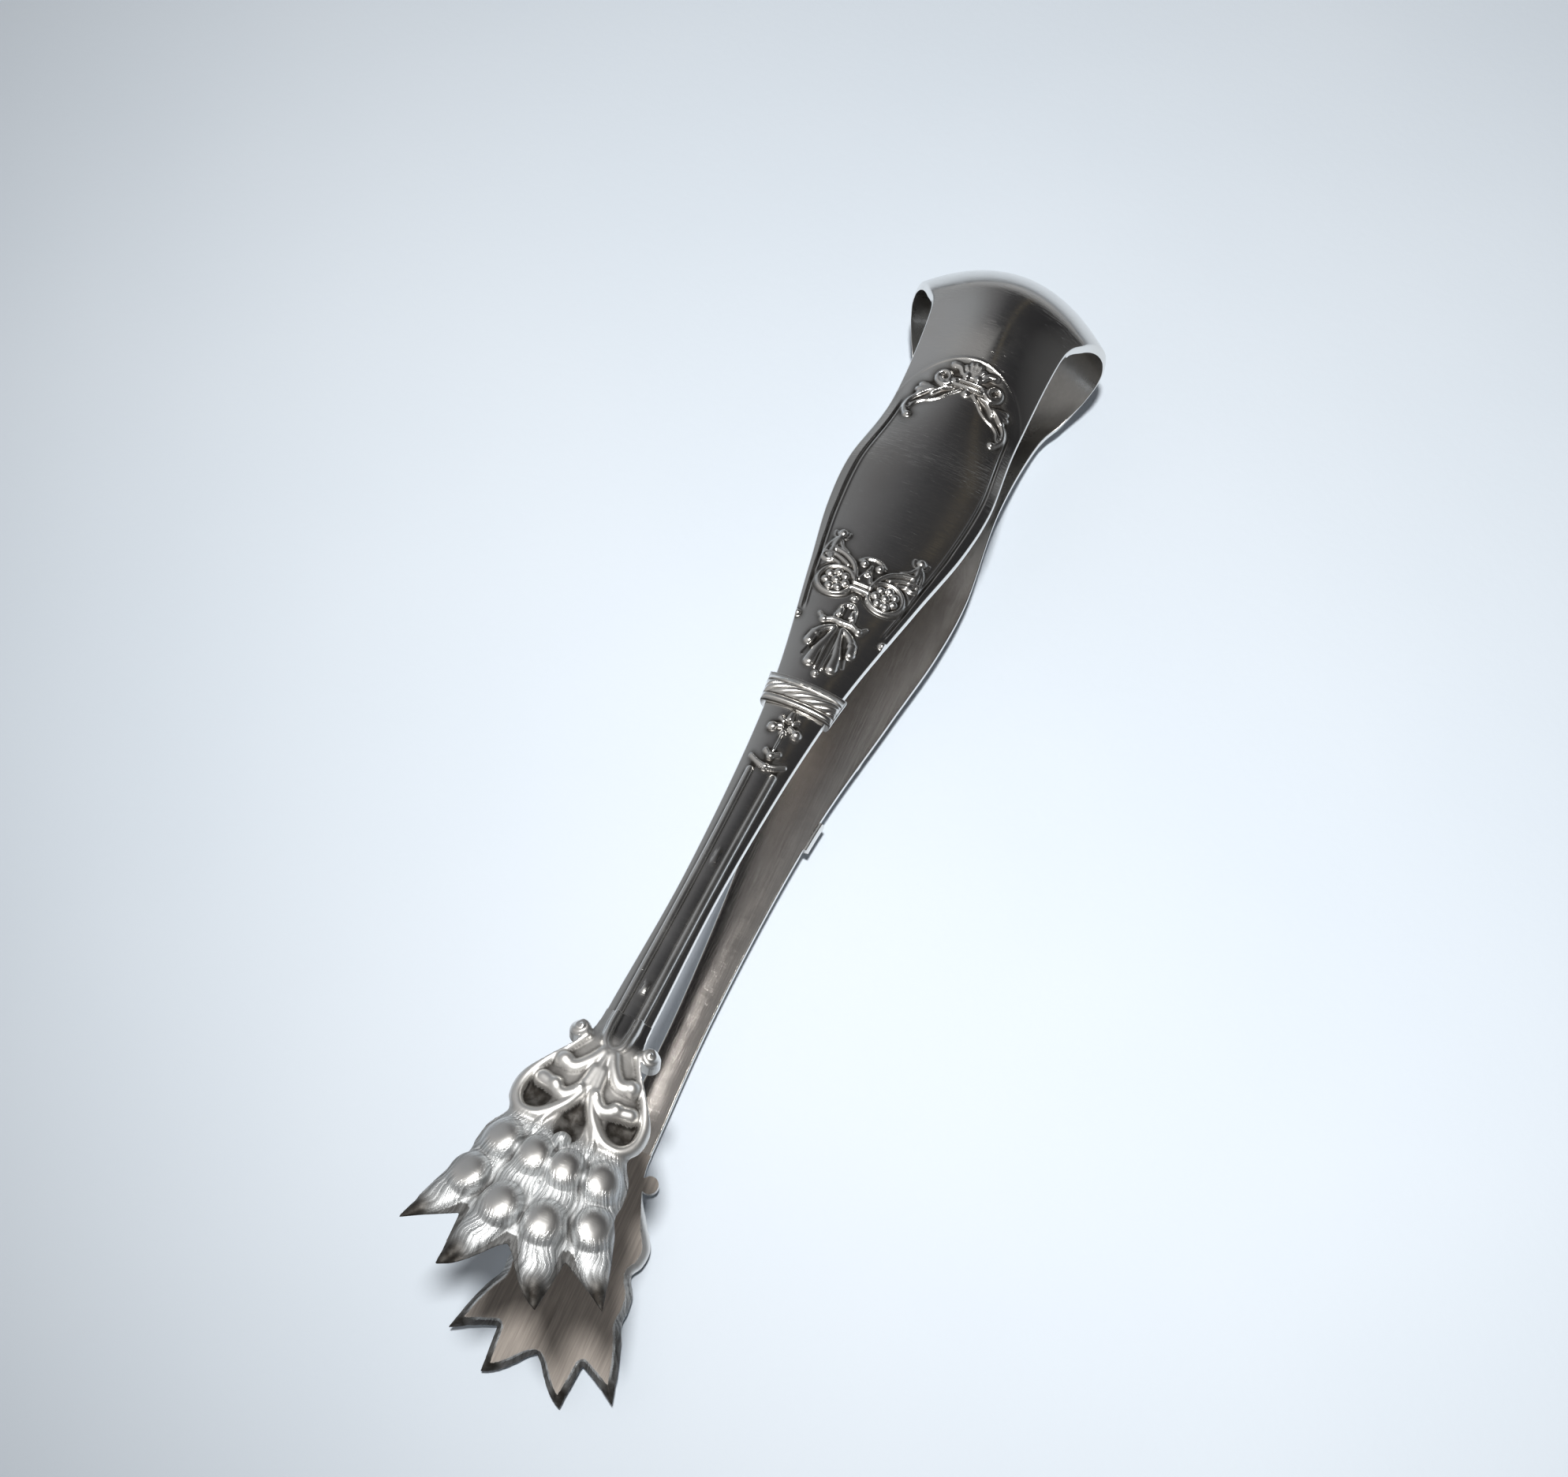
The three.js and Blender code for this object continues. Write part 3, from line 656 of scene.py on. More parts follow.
def collar_geometry():
    """Closed band over the outer face and the edges of the strip."""
    v = np.linspace(0, COLLAR_LENGTH, COLLAR_ROWS)
    arc = arc_at_back(COLLAR[0]) + v - COLLAR_LENGTH / 2
    centre, _, out, half, camber = strip_frames(arc)
    camber = camber[:, None]
    u = np.linspace(-1, 1, COLLAR_COLUMNS)
    reach = (half + COLLAR_LAP)[:, None]
    corner = (1 - np.abs(u) ** COLLAR_CORNER) ** 0.5
    ends = smooth(v, 0, COLLAR_END) * (1 - smooth(v, COLLAR_LENGTH - COLLAR_END, COLLAR_LENGTH))
    lift = collar_profile(v[:, None], u / 2 + 0.5) * corner * between(COLLAR_END_HEIGHT, 1, ends[:, None])
    side = np.linspace(0, 1, COLLAR_SIDE + 1)[1:]
    side_x = reach - COLLAR_TUCK * side ** 3
    side_o = -camber - SHEET * side
    under = u[::-1]
    under_x = (half + COLLAR_GAP)[:, None] * under
    under_o = -camber * under ** 2 - SHEET * (np.abs(under) == 1)
    x = np.hstack([reach * u, side_x, under_x, -side_x[:, ::-1]])
    o = np.hstack([lift - camber * u ** 2, side_o, under_o, side_o[:, ::-1]])
    inside = np.zeros(x.shape)
    darkening = np.zeros(x.shape)
    recess = blurred(lift, COLLAR_AROUND) - lift
    darkening[:, :COLLAR_COLUMNS] = np.clip(COLLAR_DARK + COLLAR_RECESS_GAIN * recess, 0, 1)
    return *tube(centre, out, x, o), {"inside": inside, "tarnish": darkening}


# Paw: a cast plate, dished and hollow behind, whose outer face is a relief over the inner face. It is
# drawn in a volume of this fineness between two corners, in which distances are held within FAR.
VOXEL = 0.1
PAW_START = (0.0, 0.0, -4.6)
PAW_END = (11.4, 30.0, 3.2)
FAR = 1.0
OUTLINE_SAMPLES = 12
RELIEF_BASE = 1.15
PLATE_EDGE = 1.0
PLATE_ROUND = 1.7
ANKLE_CAMBER = 0.2
ANKLE_END = (0.0, 4.0)
VOLUTE = (3.7, 3.1)
VOLUTE_RADIUS = 1.05
VOLUTE_HEIGHT = 2.5

# Calyx: where it starts and ends, and the swell of the plate under it.
CALYX_START = (2.0, 5.0)
CALYX_END = (12.0, 14.0)
CALYX_SWELL = 0.35
SWELL_PLACE = 8.0
SWELL_LENGTH = 4.0
SWELL_HALF = 6.5

# Flanks lean in towards the inner face, which has a crease along its middle.
FLANK_INSET = 1.0
FLANK_HEIGHT = 1.3
# Up to this height over the inner face the flank is left lit; higher up it gets painted shade.
FLANK_LIT_HEIGHT = 0.35
FLANK_CURVE = 1.6
FLANK_START = (4.0, 9.0)
CREASE_DEPTH = 0.35
CREASE_WIDTH = 0.8
CREASE_START = (15.0, 23.0)
INNER_SKIN = 0.12

# How dark each place is, and between which places or heights that starts or ends.
HOLLOW_DARK = 0.8
HOLLOW_FADE = (0.05, 0.3)
HOLLOW_CLEAR = 0.3
CHANNEL_DARK = 0.3
CHANNEL_SIDE = (0.6, 0.9)
CHANNEL_END = (2.8, 3.6)
CALYX_DARK = 0.55
RAISED_CLEAN = 0.5
VOLUTE_DARK = 0.35
# Painted reflection: the claw tips are darkened to stand in for the dark room that they mirror, out to
# these distances from the tips.
CLAW_PAINTED_REFLECTION = 1.0
CLAW_REFLECTION_END = (1.6, 4.4)
# Painted shade along the rim of the outer face, where it turns down and mirrors the shaded paw beneath.
RIM_PAINTED_SHADE = 0.4
RIM_SHADE_FADE = (-1.1, -0.3)
# Painted shade on the claws' flanks, from these lengths along the paw on.
FLANK_PAINTED_SHADE = 0.8
FLANK_SHADE_START = (17.0, 20.0)
PAW_AROUND = 6
PAW_RECESS_GAIN = 1.6
PAW_RECESS_LEAST = 0.1

# How matte the calyx, the claws and the ankle's field and ribs are; less than nothing is glossy.
CALYX_MATTE = 0.65
CLAW_MATTE = 0.5
CLAW_MATTE_END = (2.6, 4.0)
ANKLE_FIELD = -1.35
ANKLE_RIB = -0.4
ANKLE_GLOSS_END = (1.5, 4.0)

# Hair: it starts at the calyx, ends before the tips of the claws and thins out over the knuckles. Its
# lines fan out from a point on the middle line and sway in waves of a width, per across and per along.
FUR_START = (12.8, 14.5)
FUR_TIPS = (2.0, 3.0)
FUR_KNUCKLE = (0.45, 0.95)
HAIR_CENTRE = 5.0
HAIR_COUNT = 55
HAIR_WAVES = ((0.6, 0.0, 1.9), (0.5, 1.3, 0.7))

# Half outline from the ankle to the notch between the middle claws, with corners at claws and notches.
PAW_OUTLINE = (
    ((2.4, -0.5), (2.5, 1.5), (3.3, 4.4), (5.1, 7.0), (6.9, 9.8), (6.8, 11.8), (6.2, 13.0), (7.3, 15.0),
     (7.6, 17.0), (7.5, 18.5), (8.3, 20.2), (9.0, 22.0), (9.6, 24.0), (10.2, 26.5)),
    ((10.2, 26.5), (8.4, 25.5), (6.6, 24.7), (5.4, 24.2)),
    ((5.4, 24.2), (5.2, 26.5), (4.9, 29.2)),
    ((4.9, 29.2), (3.4, 28.5), (1.8, 27.0), (0.8, 25.8), (0.0, 25.1)),
)

# Toes and claws: across, along, half width and height over the inner face at each station.
INNER_TOE = ((1.4, 12.8, 1.5, 1.7), (1.6, 16.8, 1.85, 2.0), (1.9, 19.7, 1.8, 1.8), (2.3, 22.4, 2.0, 2.1),
             (3.0, 25.0, 1.7, 2.0), (3.5, 26.5, 1.3, 1.8))
INNER_CLAW = ((3.3, 25.8, 0.95, 1.9), (4.0, 27.4, 0.75, 1.85), (4.8, 29.2, 0.4, 1.35))
OUTER_TOE = ((4.3, 12.6, 1.5, 1.7), (5.1, 16.3, 1.85, 2.0), (5.7, 18.5, 1.8, 1.8), (6.4, 20.6, 1.95, 2.1),
             (7.5, 22.7, 1.6, 2.0), (8.3, 24.0, 1.25, 1.8))
OUTER_CLAW = ((8.0, 23.5, 0.95, 1.9), (9.0, 25.0, 0.7, 1.75), (10.0, 26.5, 0.4, 1.3))
CLAW_TIPS = ((4.85, 29.2), (10.1, 26.5))

# Knuckles: across, along, radius and height over the inner face.
KNUCKLES = ((1.6, 16.8, 1.85, 2.95), (5.15, 16.3, 1.9, 2.9),
            (2.2, 22.2, 2.05, 3.07), (6.4, 20.5, 2.0, 2.95))
KNUCKLE_LONG = 1.12
KNUCKLE_POWER = 2.5

# Hollows: one under the calyx on each side, with its radius, depth and stretch, and one in the middle.
SIDE_HOLLOW = (4.7, 10.7, 1.9, 0.7, 0.95)
MIDDLE_HOLLOW = ((0, 10.6, 0.5, 0.4), (0, 12.2, 1.3, 0.7), (0, 13.2, 1.5, 0.5))


def outline_distance(x, a):
    """Distance to the paw's outline over a grid of points, less than nothing inside it."""
    half = np.concatenate([Spline(run).sample(OUTLINE_SAMPLES * len(run)) for run in PAW_OUTLINE])
    loop = np.concatenate([half, half[::-1] * (-1, 1)])
    px, pa = x.ravel(), a.ravel()
    nearest = np.full(len(px), np.inf)
    within = np.zeros(len(px), bool)
    for (x0, a0), (x1, a1) in zip(loop, np.roll(loop, -1, axis=0)):
        dx, da = x1 - x0, a1 - a0
        length = dx * dx + da * da
        if length < TINY:
            continue
        t = np.clip(((px - x0) * dx + (pa - a0) * da) / length, 0, 1)
        nearest = np.minimum(nearest, np.hypot(px - x0 - t * dx, pa - a0 - t * da))
        crosses = (a0 > pa) != (a1 > pa)
        if da != 0:
            within ^= crosses & (px < x0 + (pa - a0) * dx / da)
    outline = np.where(within, -nearest, nearest).reshape(x.shape)
    return np.minimum(outline, np.hypot(x - VOLUTE[0], a - VOLUTE[1]) - VOLUTE_RADIUS)


def calyx(relief):
    """Scrolls, beads and lobes that clasp the paw."""
    rim = [(2.9, 3.6), (4.1, 5.6), (5.4, 7.6), (6.3, 9.8), (6.2, 11.6), (5.2, 12.8), (3.6, 12.9),
           (2.3, 12.0), (1.2, 10.6), (0.4, 8.8)]
    relief.stroke(rim, 0.7, 2.0, 0.7, 2.2)
    relief.stroke([(0.5, 4.6), (1.2, 5.9), (2.4, 7.1), (3.5, 6.9)], 0.75, 2.1, 0.95, 2.3)
    relief.stroke([(0.4, 6.6), (0.8, 8.9), (2.0, 10.1), (3.3, 9.6), (4.6, 9.2)], 0.75, 2.2, 0.9, 2.3)
    relief.stroke([(2.2, 12.2), (2.7, 13.4), (2.9, 14.6)], 0.6, 2.1, 0.4, 2.0)
    relief.stroke([(0, 4.9), (0, 6.4), (0, 8.6)], 0.65, 2.1, 0.5, 2.2)
    relief.stroke([(RIB_OFFSET, -1.0), (RIB_OFFSET, 1.8), (0.85, 3.6), (0, 4.4)], RIB_WIDTH, 1.7, 0.55, 2.0)
    for x, a, radius, height in ((3.55, 6.85, 1.0, 2.5), (0.85, 9.0, 0.7, 2.45), (3.2, 9.5, 0.95, 2.5),
                                 (0, 14.4, 0.95, 2.75)):
        relief.bead(x, a, radius, height)


def from_tips(x, a):
    """Distance to the nearest claw's tip."""
    return np.min([np.hypot(x - tip_x, a - tip_a) for tip_x, tip_a in CLAW_TIPS], axis=0)


def fur(x, a):
    """Where hair covers the toes, clear of the knuckles and the claws, and a count across its lines."""
    cover = smooth(a, *FUR_START) * smooth(from_tips(x, a), *FUR_TIPS)
    for knuckle_x, knuckle_a, radius, _ in KNUCKLES:
        near = np.hypot(x - knuckle_x, a - knuckle_a)
        cover = cover * smooth(near / radius, *FUR_KNUCKLE)
    lines = HAIR_COUNT * np.arctan2(x, a - HAIR_CENTRE)
    for width, per_across, per_along in HAIR_WAVES:
        lines = lines + width * np.sin(per_across * x + per_along * a)
    return cover, lines


def paw_heights(x, a, outline):
    """Height of the paw's outer face over its inner face, how dark its hollows are and how matte it is."""
    along = a[:, 0]
    pillow = np.sqrt(1 - (1 - np.clip(-outline / PLATE_ROUND, 0, 1)) ** 2)
    near_ankle = 1 - smooth(a, *ANKLE_END)
    plate = between(PLATE_EDGE, PAW_WALL, np.maximum(pillow, near_ankle))
    plate = plate - ANKLE_CAMBER * near_ankle * (x / ANKLE[2] * 2) ** 2
    bulge = np.exp(-((a - SWELL_PLACE) / SWELL_LENGTH) ** 2) * np.clip(1 - (x / SWELL_HALF) ** 2, 0, 1)
    relief = Relief(x, along, plate + CALYX_SWELL * bulge * (1 - near_ankle), RELIEF_BASE)
    for spec in (INNER_TOE, OUTER_TOE, INNER_CLAW, OUTER_CLAW):
        relief.chain(spec)
    for knuckle in KNUCKLES:
        relief.bead(*knuckle, KNUCKLE_LONG, KNUCKLE_POWER)
    hollows = Relief(x, along)
    hollows.bead(*SIDE_HOLLOW)
    hollows.chain(MIDDLE_HOLLOW)
    relief.carve(hollows)
    floor = relief.height.copy()
    calyx(relief)
    relief.bead(*VOLUTE, VOLUTE_RADIUS, VOLUTE_HEIGHT)
    raised = smooth(relief.height - floor, *RAISED_FADE)
    on_calyx = smooth(a, *CALYX_START) * (1 - smooth(a, *CALYX_END))
    dark = np.max([
        HOLLOW_DARK * smooth(hollows.height, *HOLLOW_FADE) * (relief.height < floor + HOLLOW_CLEAR),
        CHANNEL_DARK * (1 - smooth(x, *CHANNEL_SIDE)) * (1 - smooth(a, *CHANNEL_END)),
        CALYX_DARK * on_calyx * (1 - RAISED_CLEAN * raised),
        VOLUTE_DARK * (np.hypot(x - VOLUTE[0], a - VOLUTE[1]) < VOLUTE_RADIUS),
    ], axis=0)
    matte = CALYX_MATTE * on_calyx + CLAW_MATTE * (1 - smooth(from_tips(x, a), *CLAW_MATTE_END))
    matte = matte + (1 - smooth(a, *ANKLE_GLOSS_END)) * between(ANKLE_FIELD, ANKLE_RIB, raised)
    spiral = Relief(x, along)
    spiral.ring(*VOLUTE, radius=0.8, width=0.16, height=0.4, start=-60, end=480, end_radius=0.15)
    relief.carve(spiral)
    return blurred(relief.height, 1), dark, matte


def paw_tarnish_and_shade(x, a, outline, height, dark):
    """How dark the outer face is: tarnish in its hollows, a painted dark reflection at the tips of the
    claws and painted shade along its rim.
    """
    recess = PAW_RECESS_GAIN * (blurred(height, PAW_AROUND) - height) - PAW_RECESS_LEAST
    # Painted dark reflection near the tips of the claws.
    claw_reflection = CLAW_PAINTED_REFLECTION * (1 - smooth(from_tips(x, a), *CLAW_REFLECTION_END))
    # Painted shade along the rim of the outer face, past the calyx.
    rim_shade = RIM_PAINTED_SHADE * smooth(outline, *RIM_SHADE_FADE) * smooth(a, *CALYX_END)
    return np.max([np.clip(recess + dark, 0, 1), claw_reflection, rim_shade], axis=0)


def skin(half):
    """Corners, in steps of the grid, and faces of the surface of half a volume and its mirror image."""
    grid = openvdb.FloatGrid(FAR)
    grid.copyFromArray(np.ascontiguousarray(np.concatenate([half[:0:-1], half], axis=0)))
    corners, triangles, quads = grid.convertToPolygons(isovalue=0.0, adaptivity=0.0)
    return np.asarray(corners, float), np.asarray(quads).tolist() + np.asarray(triangles).tolist()


def paw_geometry():
    """Closed skin of the volume that lies in the paw's outline, between its inner and outer faces."""
    axes = [np.arange(low, high, VOXEL) for low, high in zip(PAW_START, PAW_END)]
    x, a = np.meshgrid(axes[0], axes[1])
    outline = outline_distance(x, a)
    height, dark, matte = paw_heights(x, a, outline)
    crease = CREASE_DEPTH * np.exp(-x / CREASE_WIDTH) * smooth(a, *CREASE_START)
    inner = paw_face(x) - PAW_WALL
    outer = inner + height
    steep = np.sqrt(1 + sum(g ** 2 for g in np.gradient(outer, VOXEL)))
    out = axes[2][:, None, None]
    low = 1 - np.clip((out - inner) / FLANK_HEIGHT, 0, 1)
    flank = FLANK_INSET * low ** FLANK_CURVE * smooth(a, *FLANK_START)
    whole = np.maximum(np.maximum((out - outer) / steep, outline + flank), inner + crease - out)
    corners, faces = skin(np.clip(whole.transpose(2, 1, 0), -FAR, FAR).astype(np.float32))
    start = np.array([-(len(axes[0]) - 1) * VOXEL, *PAW_START[1:]])
    local = start + corners * VOXEL
    column = np.clip(np.rint(np.abs(local[:, 0]) / VOXEL).astype(int), 0, len(axes[0]) - 1)
    row = np.clip(np.rint((local[:, 1] - PAW_START[1]) / VOXEL).astype(int), 0, len(axes[1]) - 1)

    def at_corners(field):
        return field[row, column]

    tarnish = at_corners(paw_tarnish_and_shade(x, a, outline, height, dark))
    above = local[:, 2] - at_corners(inner)
    # Painted shade on the flanks, above the lit band next to the inner face.
    flank_in_shade = (above > FLANK_LIT_HEIGHT) & (above < FLANK_HEIGHT)
    flank_shade = FLANK_PAINTED_SHADE * smooth(a, *FLANK_SHADE_START) * (outline > -FLANK_INSET - VOXEL)
    tarnish = np.where(flank_in_shade, np.maximum(tarnish, at_corners(flank_shade)), tarnish)
    cover, lines = (at_corners(field) for field in fur(x, a))
    inside = local[:, 2] < at_corners(inner + crease) + INNER_SKIN
    finish = {"tarnish": tarnish, "fur": cover, "hair": lines, "matte": at_corners(matte)}
    finish = {key: values * ~inside for key, values in finish.items()}
    points = paw_centre + local[:, 1:2] * paw_along + local[:, 2:3] * paw_out
    points[:, 0] = local[:, 0]
    return points, faces, [], {"inside": inside, **finish}


# Materials.

# Sockets of a mix node that work on colours: its factor and its two inputs, and its result.
MIX_INPUTS = (0, 6, 7)
MIX_RESULT = 2


class Nodes:
    """Node tree, with short calls to add nodes and links."""

    def __init__(self, tree):
        self.tree = tree

    def add(self, kind, **values):
        """New node with values for its inputs and its settings."""
        node = self.tree.nodes.new(kind)
        for key, value in values.items():
            if key in node.inputs:
                node.inputs[key].default_value = value
            else:
                setattr(node, key, value)
        return node

    def feed(self, socket, value):
        """Gives an input a number, a colour or another node's output."""
        if isinstance(value, bpy.types.NodeSocket):
            self.tree.links.new(value, socket)
        else:
            socket.default_value = (*value, 1) if isinstance(value, tuple) else value

    def ramp(self, factor, low, high, start=0.0, end=1.0):
        """Straight run from start to end while the factor goes from low to high."""
        limits = {"From Min": low, "From Max": high, "To Min": start, "To Max": end}
        node = self.add("ShaderNodeMapRange", **limits)
        self.feed(node.inputs["Value"], factor)
        return node.outputs["Result"]

    def mix(self, factor, first, second):
        """Colour between two."""
        node = self.add("ShaderNodeMix", data_type="RGBA")
        for k, value in zip(MIX_INPUTS, (factor, first, second)):
            self.feed(node.inputs[k], value)
        return node.outputs[MIX_RESULT]

    def math(self, operation, *values):
        """Result of an operation on numbers."""
        node = self.add("ShaderNodeMath", operation=operation)
        for socket, value in zip(node.inputs, values):
            self.feed(socket, value)
        return node.outputs[0]


class Shader(Nodes):
    """Node tree of one material, with its surface and the textures on it."""

    def __init__(self, name):
        self.material = bpy.data.materials.new(name)
        self.material.use_nodes = True
        super().__init__(self.material.node_tree)
        self.surface = self.tree.nodes["Principled BSDF"].inputs
        self.place = self.add("ShaderNodeTexCoord").outputs["Object"]

    def noise(self, scale, detail=2.0, stretch=(1, 1, 1), turn=(0, 0, 0)):
        """Noise in the piece's own frame, stretched along its axes and turned in degrees."""
        mapping = self.add("ShaderNodeMapping", Scale=stretch, Rotation=[math.radians(t) for t in turn])
        self.feed(mapping.inputs["Vector"], self.place)
        texture = self.add("ShaderNodeTexNoise", Scale=scale, Detail=detail)
        self.feed(texture.inputs["Vector"], mapping.outputs["Vector"])
        return texture.outputs["Fac"]

    def attribute(self, name):
        """Value that the mesh holds at each point."""
        return self.add("ShaderNodeAttribute", attribute_name=name).outputs["Fac"]

    def bump(self, height, strength, distance, before=None):
        """Normal of a surface with these heights, on top of another normal."""
        node = self.add("ShaderNodeBump", Strength=strength, Distance=distance)
        self.feed(node.inputs["Height"], height)
        if before is not None:
            self.feed(node.inputs["Normal"], before)
        return node.outputs["Normal"]


SILVER = (0.80, 0.79, 0.77)
SILVER_WARM = (0.66, 0.62, 0.56)
WARM_PATCHES = 0.35
HAZE = 0.07
MATTE_ROUGHNESS = 0.2
# Dark colour of tarnish in recesses and of the painted shade and reflections on the paws.
TARNISH_AND_SHADE = (0.05, 0.045, 0.04)
TARNISH_AND_SHADE_ROUGHNESS = 0.3
SATIN = (0.54, 0.51, 0.48)
SATIN_DARK = (0.44, 0.41, 0.385)
BRUSH_DEPTH = 0.05 * MM
SCRATCH_TURNS = (12, -38, 71)
SCRATCH_DEPTH = 0.02 * MM
FUR = (0.84, 0.86, 0.87)
FUR_DARK = (0.41, 0.42, 0.425)
FUR_ROUGHNESS = 0.22
FUR_DEPTH = 0.12 * MM


def scratches(s, strength):
    """Normal with runs of fine scratches across each other."""
    normal = None
    for turn in SCRATCH_TURNS:
        lines = s.noise(scale=420, stretch=(1, 34, 1), turn=(0, 0, turn))
        normal = s.bump(s.ramp(lines, low=0.62, high=0.7), strength, SCRATCH_DEPTH, normal)
    return normal


def silver(name, roughness, satin_roughness, scratch, satin_tone=1.0, furred=False):
    """Silver with warm patches, tarnish in recesses and painted shade on the paws, satin inner faces, fine
    scratches and, on the paws, hair.
    """
    s = Shader(name)
    patches = s.ramp(s.noise(scale=90, detail=3), low=0.5, high=0.75, end=WARM_PATCHES)
    outer = s.mix(patches, SILVER, SILVER_WARM)
    haze = s.noise(scale=260, detail=4)
    rough = s.ramp(haze, low=0.35, high=0.75, start=roughness, end=roughness + HAZE)
    rough = s.math("MULTIPLY_ADD", s.attribute("matte"), MATTE_ROUGHNESS, rough)
    normal = scratches(s, scratch)
    if furred:
        cover = s.attribute("fur")
        hair = s.add("ShaderNodeTexNoise", noise_dimensions="1D", Scale=1.0, Detail=2.0)
        s.feed(hair.inputs["W"], s.attribute("hair"))
        strands = s.ramp(hair.outputs["Fac"], low=0.35, high=0.65)
        outer = s.mix(cover, outer, s.mix(strands, FUR_DARK, FUR))
        rough = s.math("MULTIPLY_ADD", cover, FUR_ROUGHNESS, rough)
        normal = s.bump(s.math("MULTIPLY", strands, cover), strength=0.5, distance=FUR_DEPTH, before=normal)
    spots = s.ramp(s.noise(scale=1400, detail=3), low=0.25, high=0.6, start=0.9)
    # Tarnish, and on the paws painted shade and reflections, darken the silver by the points' values.
    darkening = s.math("MULTIPLY", s.attribute("tarnish"), spots)
    outer = s.mix(darkening, outer, TARNISH_AND_SHADE)
    rough = s.math("MULTIPLY_ADD", darkening, TARNISH_AND_SHADE_ROUGHNESS, rough)
    streaks = s.ramp(s.noise(scale=220, detail=4, stretch=(22, 0.5, 22)), low=0.3, high=0.7)
    dull, clear = (tuple(satin_tone * c for c in colour) for colour in (SATIN_DARK, SATIN))
    inside = s.attribute("inside")
    rough = s.math("MULTIPLY_ADD", inside, satin_roughness - roughness, rough)
    brushed = s.math("MULTIPLY", s.noise(scale=900, detail=3, stretch=(9, 0.4, 9)), inside)
    s.feed(s.surface["Base Color"], s.mix(inside, outer, s.mix(streaks, dull, clear)))
    s.feed(s.surface["Metallic"], 1.0)
    s.feed(s.surface["Roughness"], rough)
    normal = s.bump(brushed, strength=0.35, distance=BRUSH_DEPTH, before=normal)
    s.feed(s.surface["Normal"], normal)
    return s.material


PAPER = (0.70, 0.765, 0.84)
PAPER_DARK = (0.66, 0.73, 0.81)
PAPER_ROUGHNESS = 0.75
PAPER_GRAIN = 0.15 * MM
PAPER_WAVES = 2 * MM


def paper():
    """Pale, slightly uneven paper."""
    s = Shader("pale_paper")
    tone = s.ramp(s.noise(scale=9, detail=4), low=0.3, high=0.7)
    s.feed(s.surface["Base Color"], s.mix(tone, PAPER_DARK, PAPER))
    s.feed(s.surface["Roughness"], PAPER_ROUGHNESS)
    grain = s.bump(s.noise(scale=900, detail=5), strength=0.15, distance=PAPER_GRAIN)
    waves = s.bump(s.noise(scale=14), strength=0.2, distance=PAPER_WAVES, before=grain)
    s.feed(s.surface["Normal"], waves)
    return s.material


# Pieces.

polished = silver("silver_polished", roughness=0.1, satin_roughness=0.18, scratch=0.15)
collared = silver("silver_collar", roughness=0.2, satin_roughness=1.0, scratch=0.1)
cast = silver("silver_cast", roughness=0.3, satin_roughness=1.0, scratch=0.1, satin_tone=1.35, furred=True)

bow = bow_geometry()
arm = arm_geometry()
collar = collar_geometry()
paw = paw_geometry()

for prefix, side in (("upper", 1), ("lower", -1)):
    spring = make_piece(f"{prefix}_bow_half", side, bow, polished)
    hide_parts("bow_crown", f"{prefix}_bow_limb")
    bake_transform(spring)
    for part, geometry, material, slot in (("arm", arm, polished, "silver_struck"),
                                           ("collar", collar, collared, "silver_collar"),
                                           ("paw", paw, cast, "silver_cast")):
        piece = make_piece(f"{prefix}_{part}_silver", side, geometry, material)
        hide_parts(f"{prefix}_{part}")
        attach(piece, prefix)


# Floor, light and camera.

FLOOR_HALF = 0.8
floor_mesh = bpy.data.meshes.new("floor")
floor_corners = [(x * FLOOR_HALF, y * FLOOR_HALF, 0) for x, y in ((-1, -1), (1, -1), (1, 1), (-1, 1))]
floor_mesh.from_pydata(floor_corners, [], [(0, 1, 2, 3)])
floor_mesh.materials.append(paper())
floor = in_scene("floor", floor_mesh)


def aim(thing, place, target, roll=0.0):
    """Puts a light or camera in its place, facing a target and rolled about its view in degrees."""
    look = (target - place).to_track_quat("-Z", "Y").to_matrix()
    thing.location = place
    thing.rotation_mode = "QUATERNION"
    thing.rotation_quaternion = (look @ Matrix.Rotation(math.radians(roll), 3, "Z")).to_quaternion()


# The flash, above the camera.
FLASH_PLACE = Vector((17, -57.5, 340)) * MM
FLASH_AIM = Vector((40, 98, 0)) * MM
flash_light = bpy.data.lights.new("flash", "SPOT")
flash_light.energy = 5.6
flash_light.color = (1.0, 0.99, 0.97)
flash_light.shadow_soft_size = 11 * MM
flash_light.spot_size = math.radians(100)
flash_light.spot_blend = 1.0
aim(in_scene("flash", flash_light), FLASH_PLACE, FLASH_AIM)

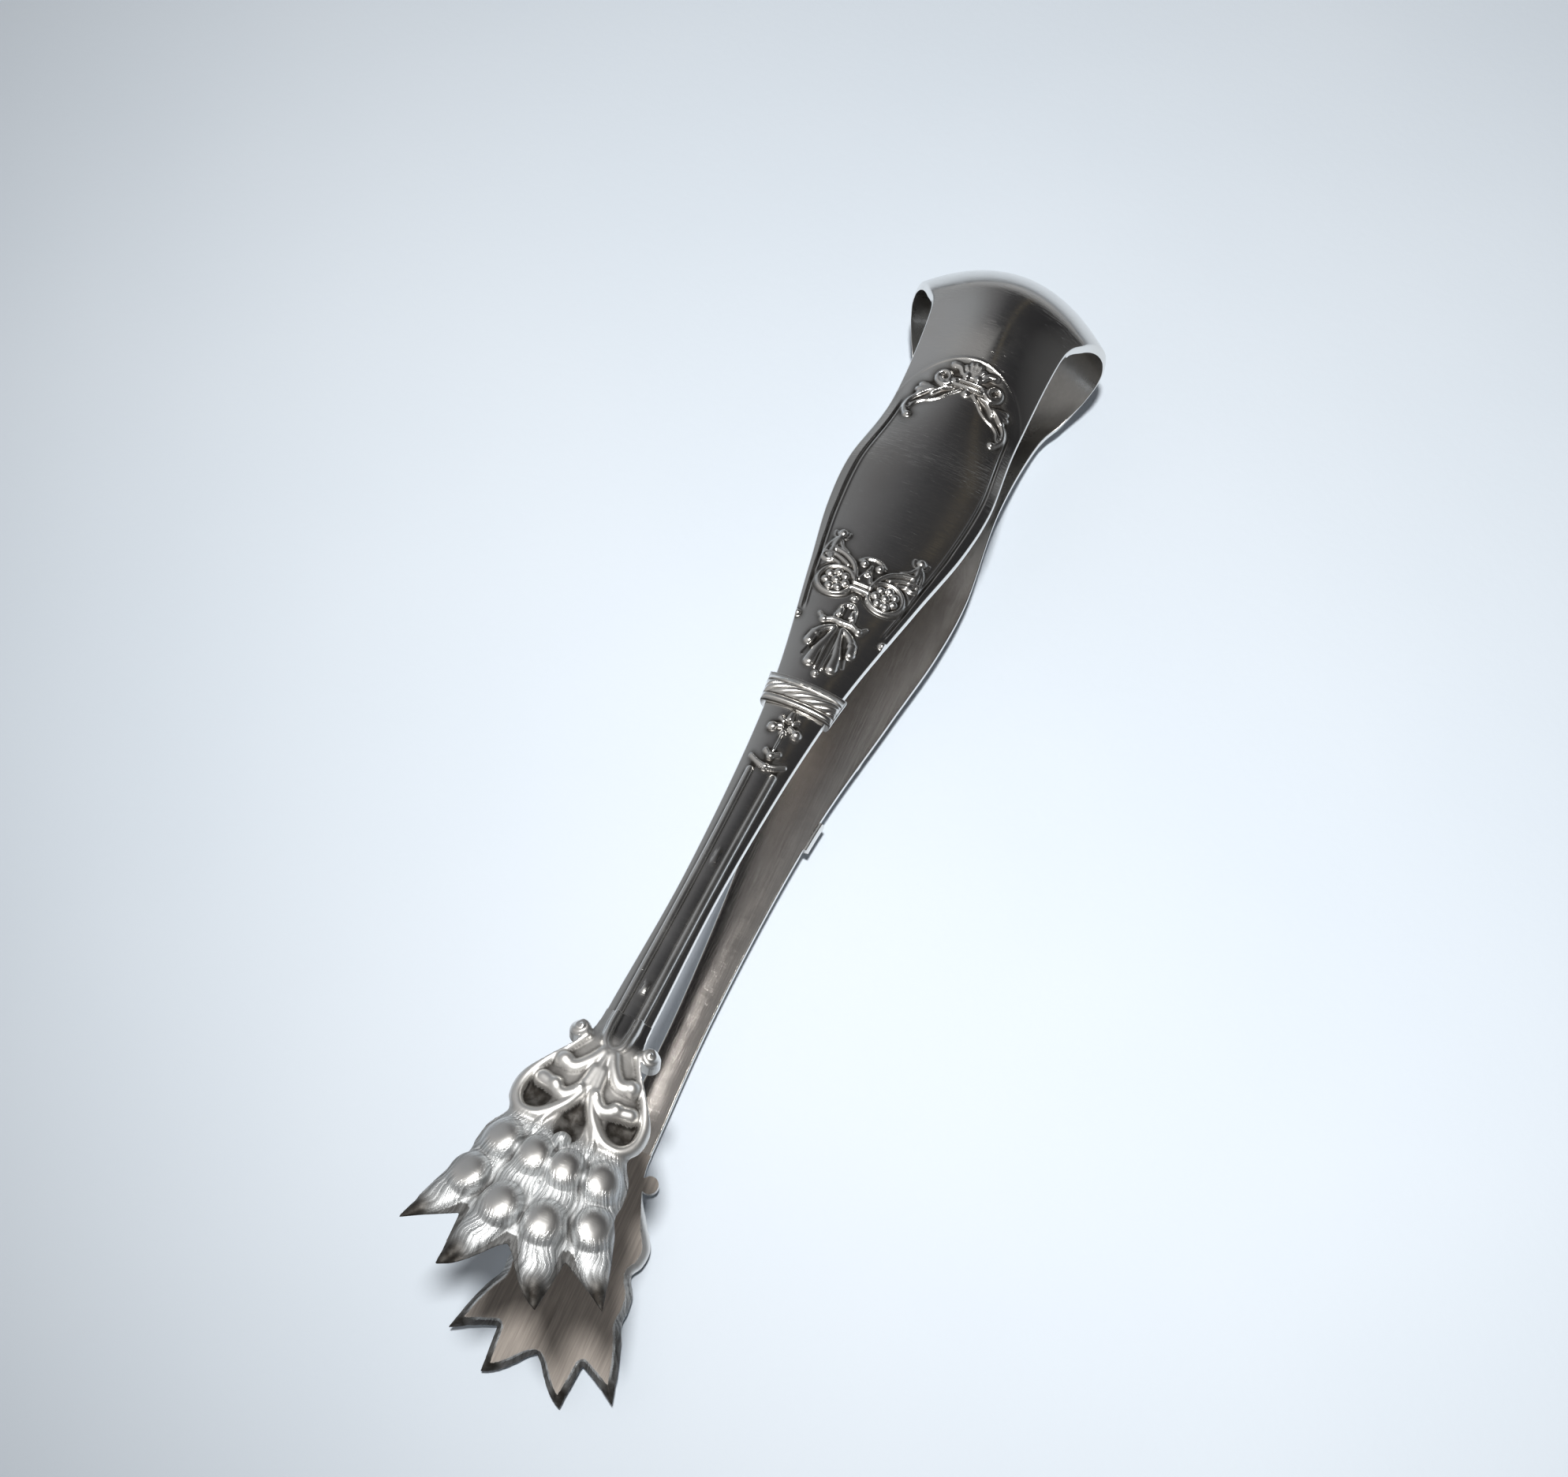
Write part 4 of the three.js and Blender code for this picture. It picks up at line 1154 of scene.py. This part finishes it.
# The room that the silver reflects: dim, lighter on the left, most of all in front, and low down at
# the back, with one warm streak. Its walls have a colour at each of these places from left to right.
ROOM = ((-1.0, (0.34, 0.35, 0.37)), (-0.6, (0.27, 0.28, 0.29)), (-0.32, (0.14, 0.14, 0.145)),
        (-0.1, (0.052, 0.052, 0.055)), (0.05, (0.038, 0.038, 0.04)), (0.11, (0.085, 0.075, 0.06)),
        (0.17, (0.034, 0.034, 0.036)), (0.5, (0.028, 0.028, 0.03)), (1.0, (0.10, 0.10, 0.10)))
HORIZON = (0.42, 0.425, 0.43)
HORIZON_TILT = -0.45
HORIZON_FADE = (-0.45, -0.2)
FRONT_LEFT = (0.4, 0.395, 0.39)
LEFT_FADE = (-0.2, 0.03)
FRONT_FADE = (0.05, 0.3)


def room_light(name):
    """World with the room's colours by direction."""
    world = bpy.data.worlds.new(name)
    world.use_nodes = True
    room = Nodes(world.node_tree)
    direction = room.add("ShaderNodeSeparateXYZ")
    room.feed(direction.inputs["Vector"], room.add("ShaderNodeTexCoord").outputs["Generated"])
    x, y, z = direction.outputs
    walls = room.add("ShaderNodeValToRGB")
    room.feed(walls.inputs["Fac"], room.ramp(x, -1, 1))
    stops = walls.color_ramp.elements
    for k, (place, colour) in enumerate(ROOM):
        share = (place + 1) / 2
        stop = stops[k] if k < len(stops) else stops.new(share)
        stop.position = share
        stop.color = (*colour, 1)
    upwards = room.math("MULTIPLY_ADD", y, HORIZON_TILT, z)
    colour = room.mix(room.ramp(upwards, *HORIZON_FADE), HORIZON, walls.outputs["Color"])
    beyond = room.math("MAXIMUM", room.ramp(x, *LEFT_FADE), room.ramp(y, *FRONT_FADE))
    colour = room.mix(beyond, FRONT_LEFT, colour)
    room.feed(room.tree.nodes["Background"].inputs["Color"], colour)
    return world


bpy.context.scene.world = room_light("room")

# Camera of the photo: its place, the point on the table that it faces and its roll in degrees.
CAMERA_PLACE = Vector((29.615, -82.276, 224.905)) * MM
CAMERA_AIM = Vector((-5.514, 8.849, 0)) * MM
CAMERA_ROLL = 3.058
PHOTO_WIDTH = 1988
FOCAL_PIXELS = 2400
camera_lens = bpy.data.cameras.new("camera")
camera_lens.sensor_width = 36
camera_lens.lens = camera_lens.sensor_width * FOCAL_PIXELS / PHOTO_WIDTH
camera_lens.clip_start = 10 * MM
camera = in_scene("camera", camera_lens)
aim(camera, CAMERA_PLACE, CAMERA_AIM, CAMERA_ROLL)
bpy.context.scene.camera = camera
bpy.context.scene.view_settings.view_transform = "Standard"
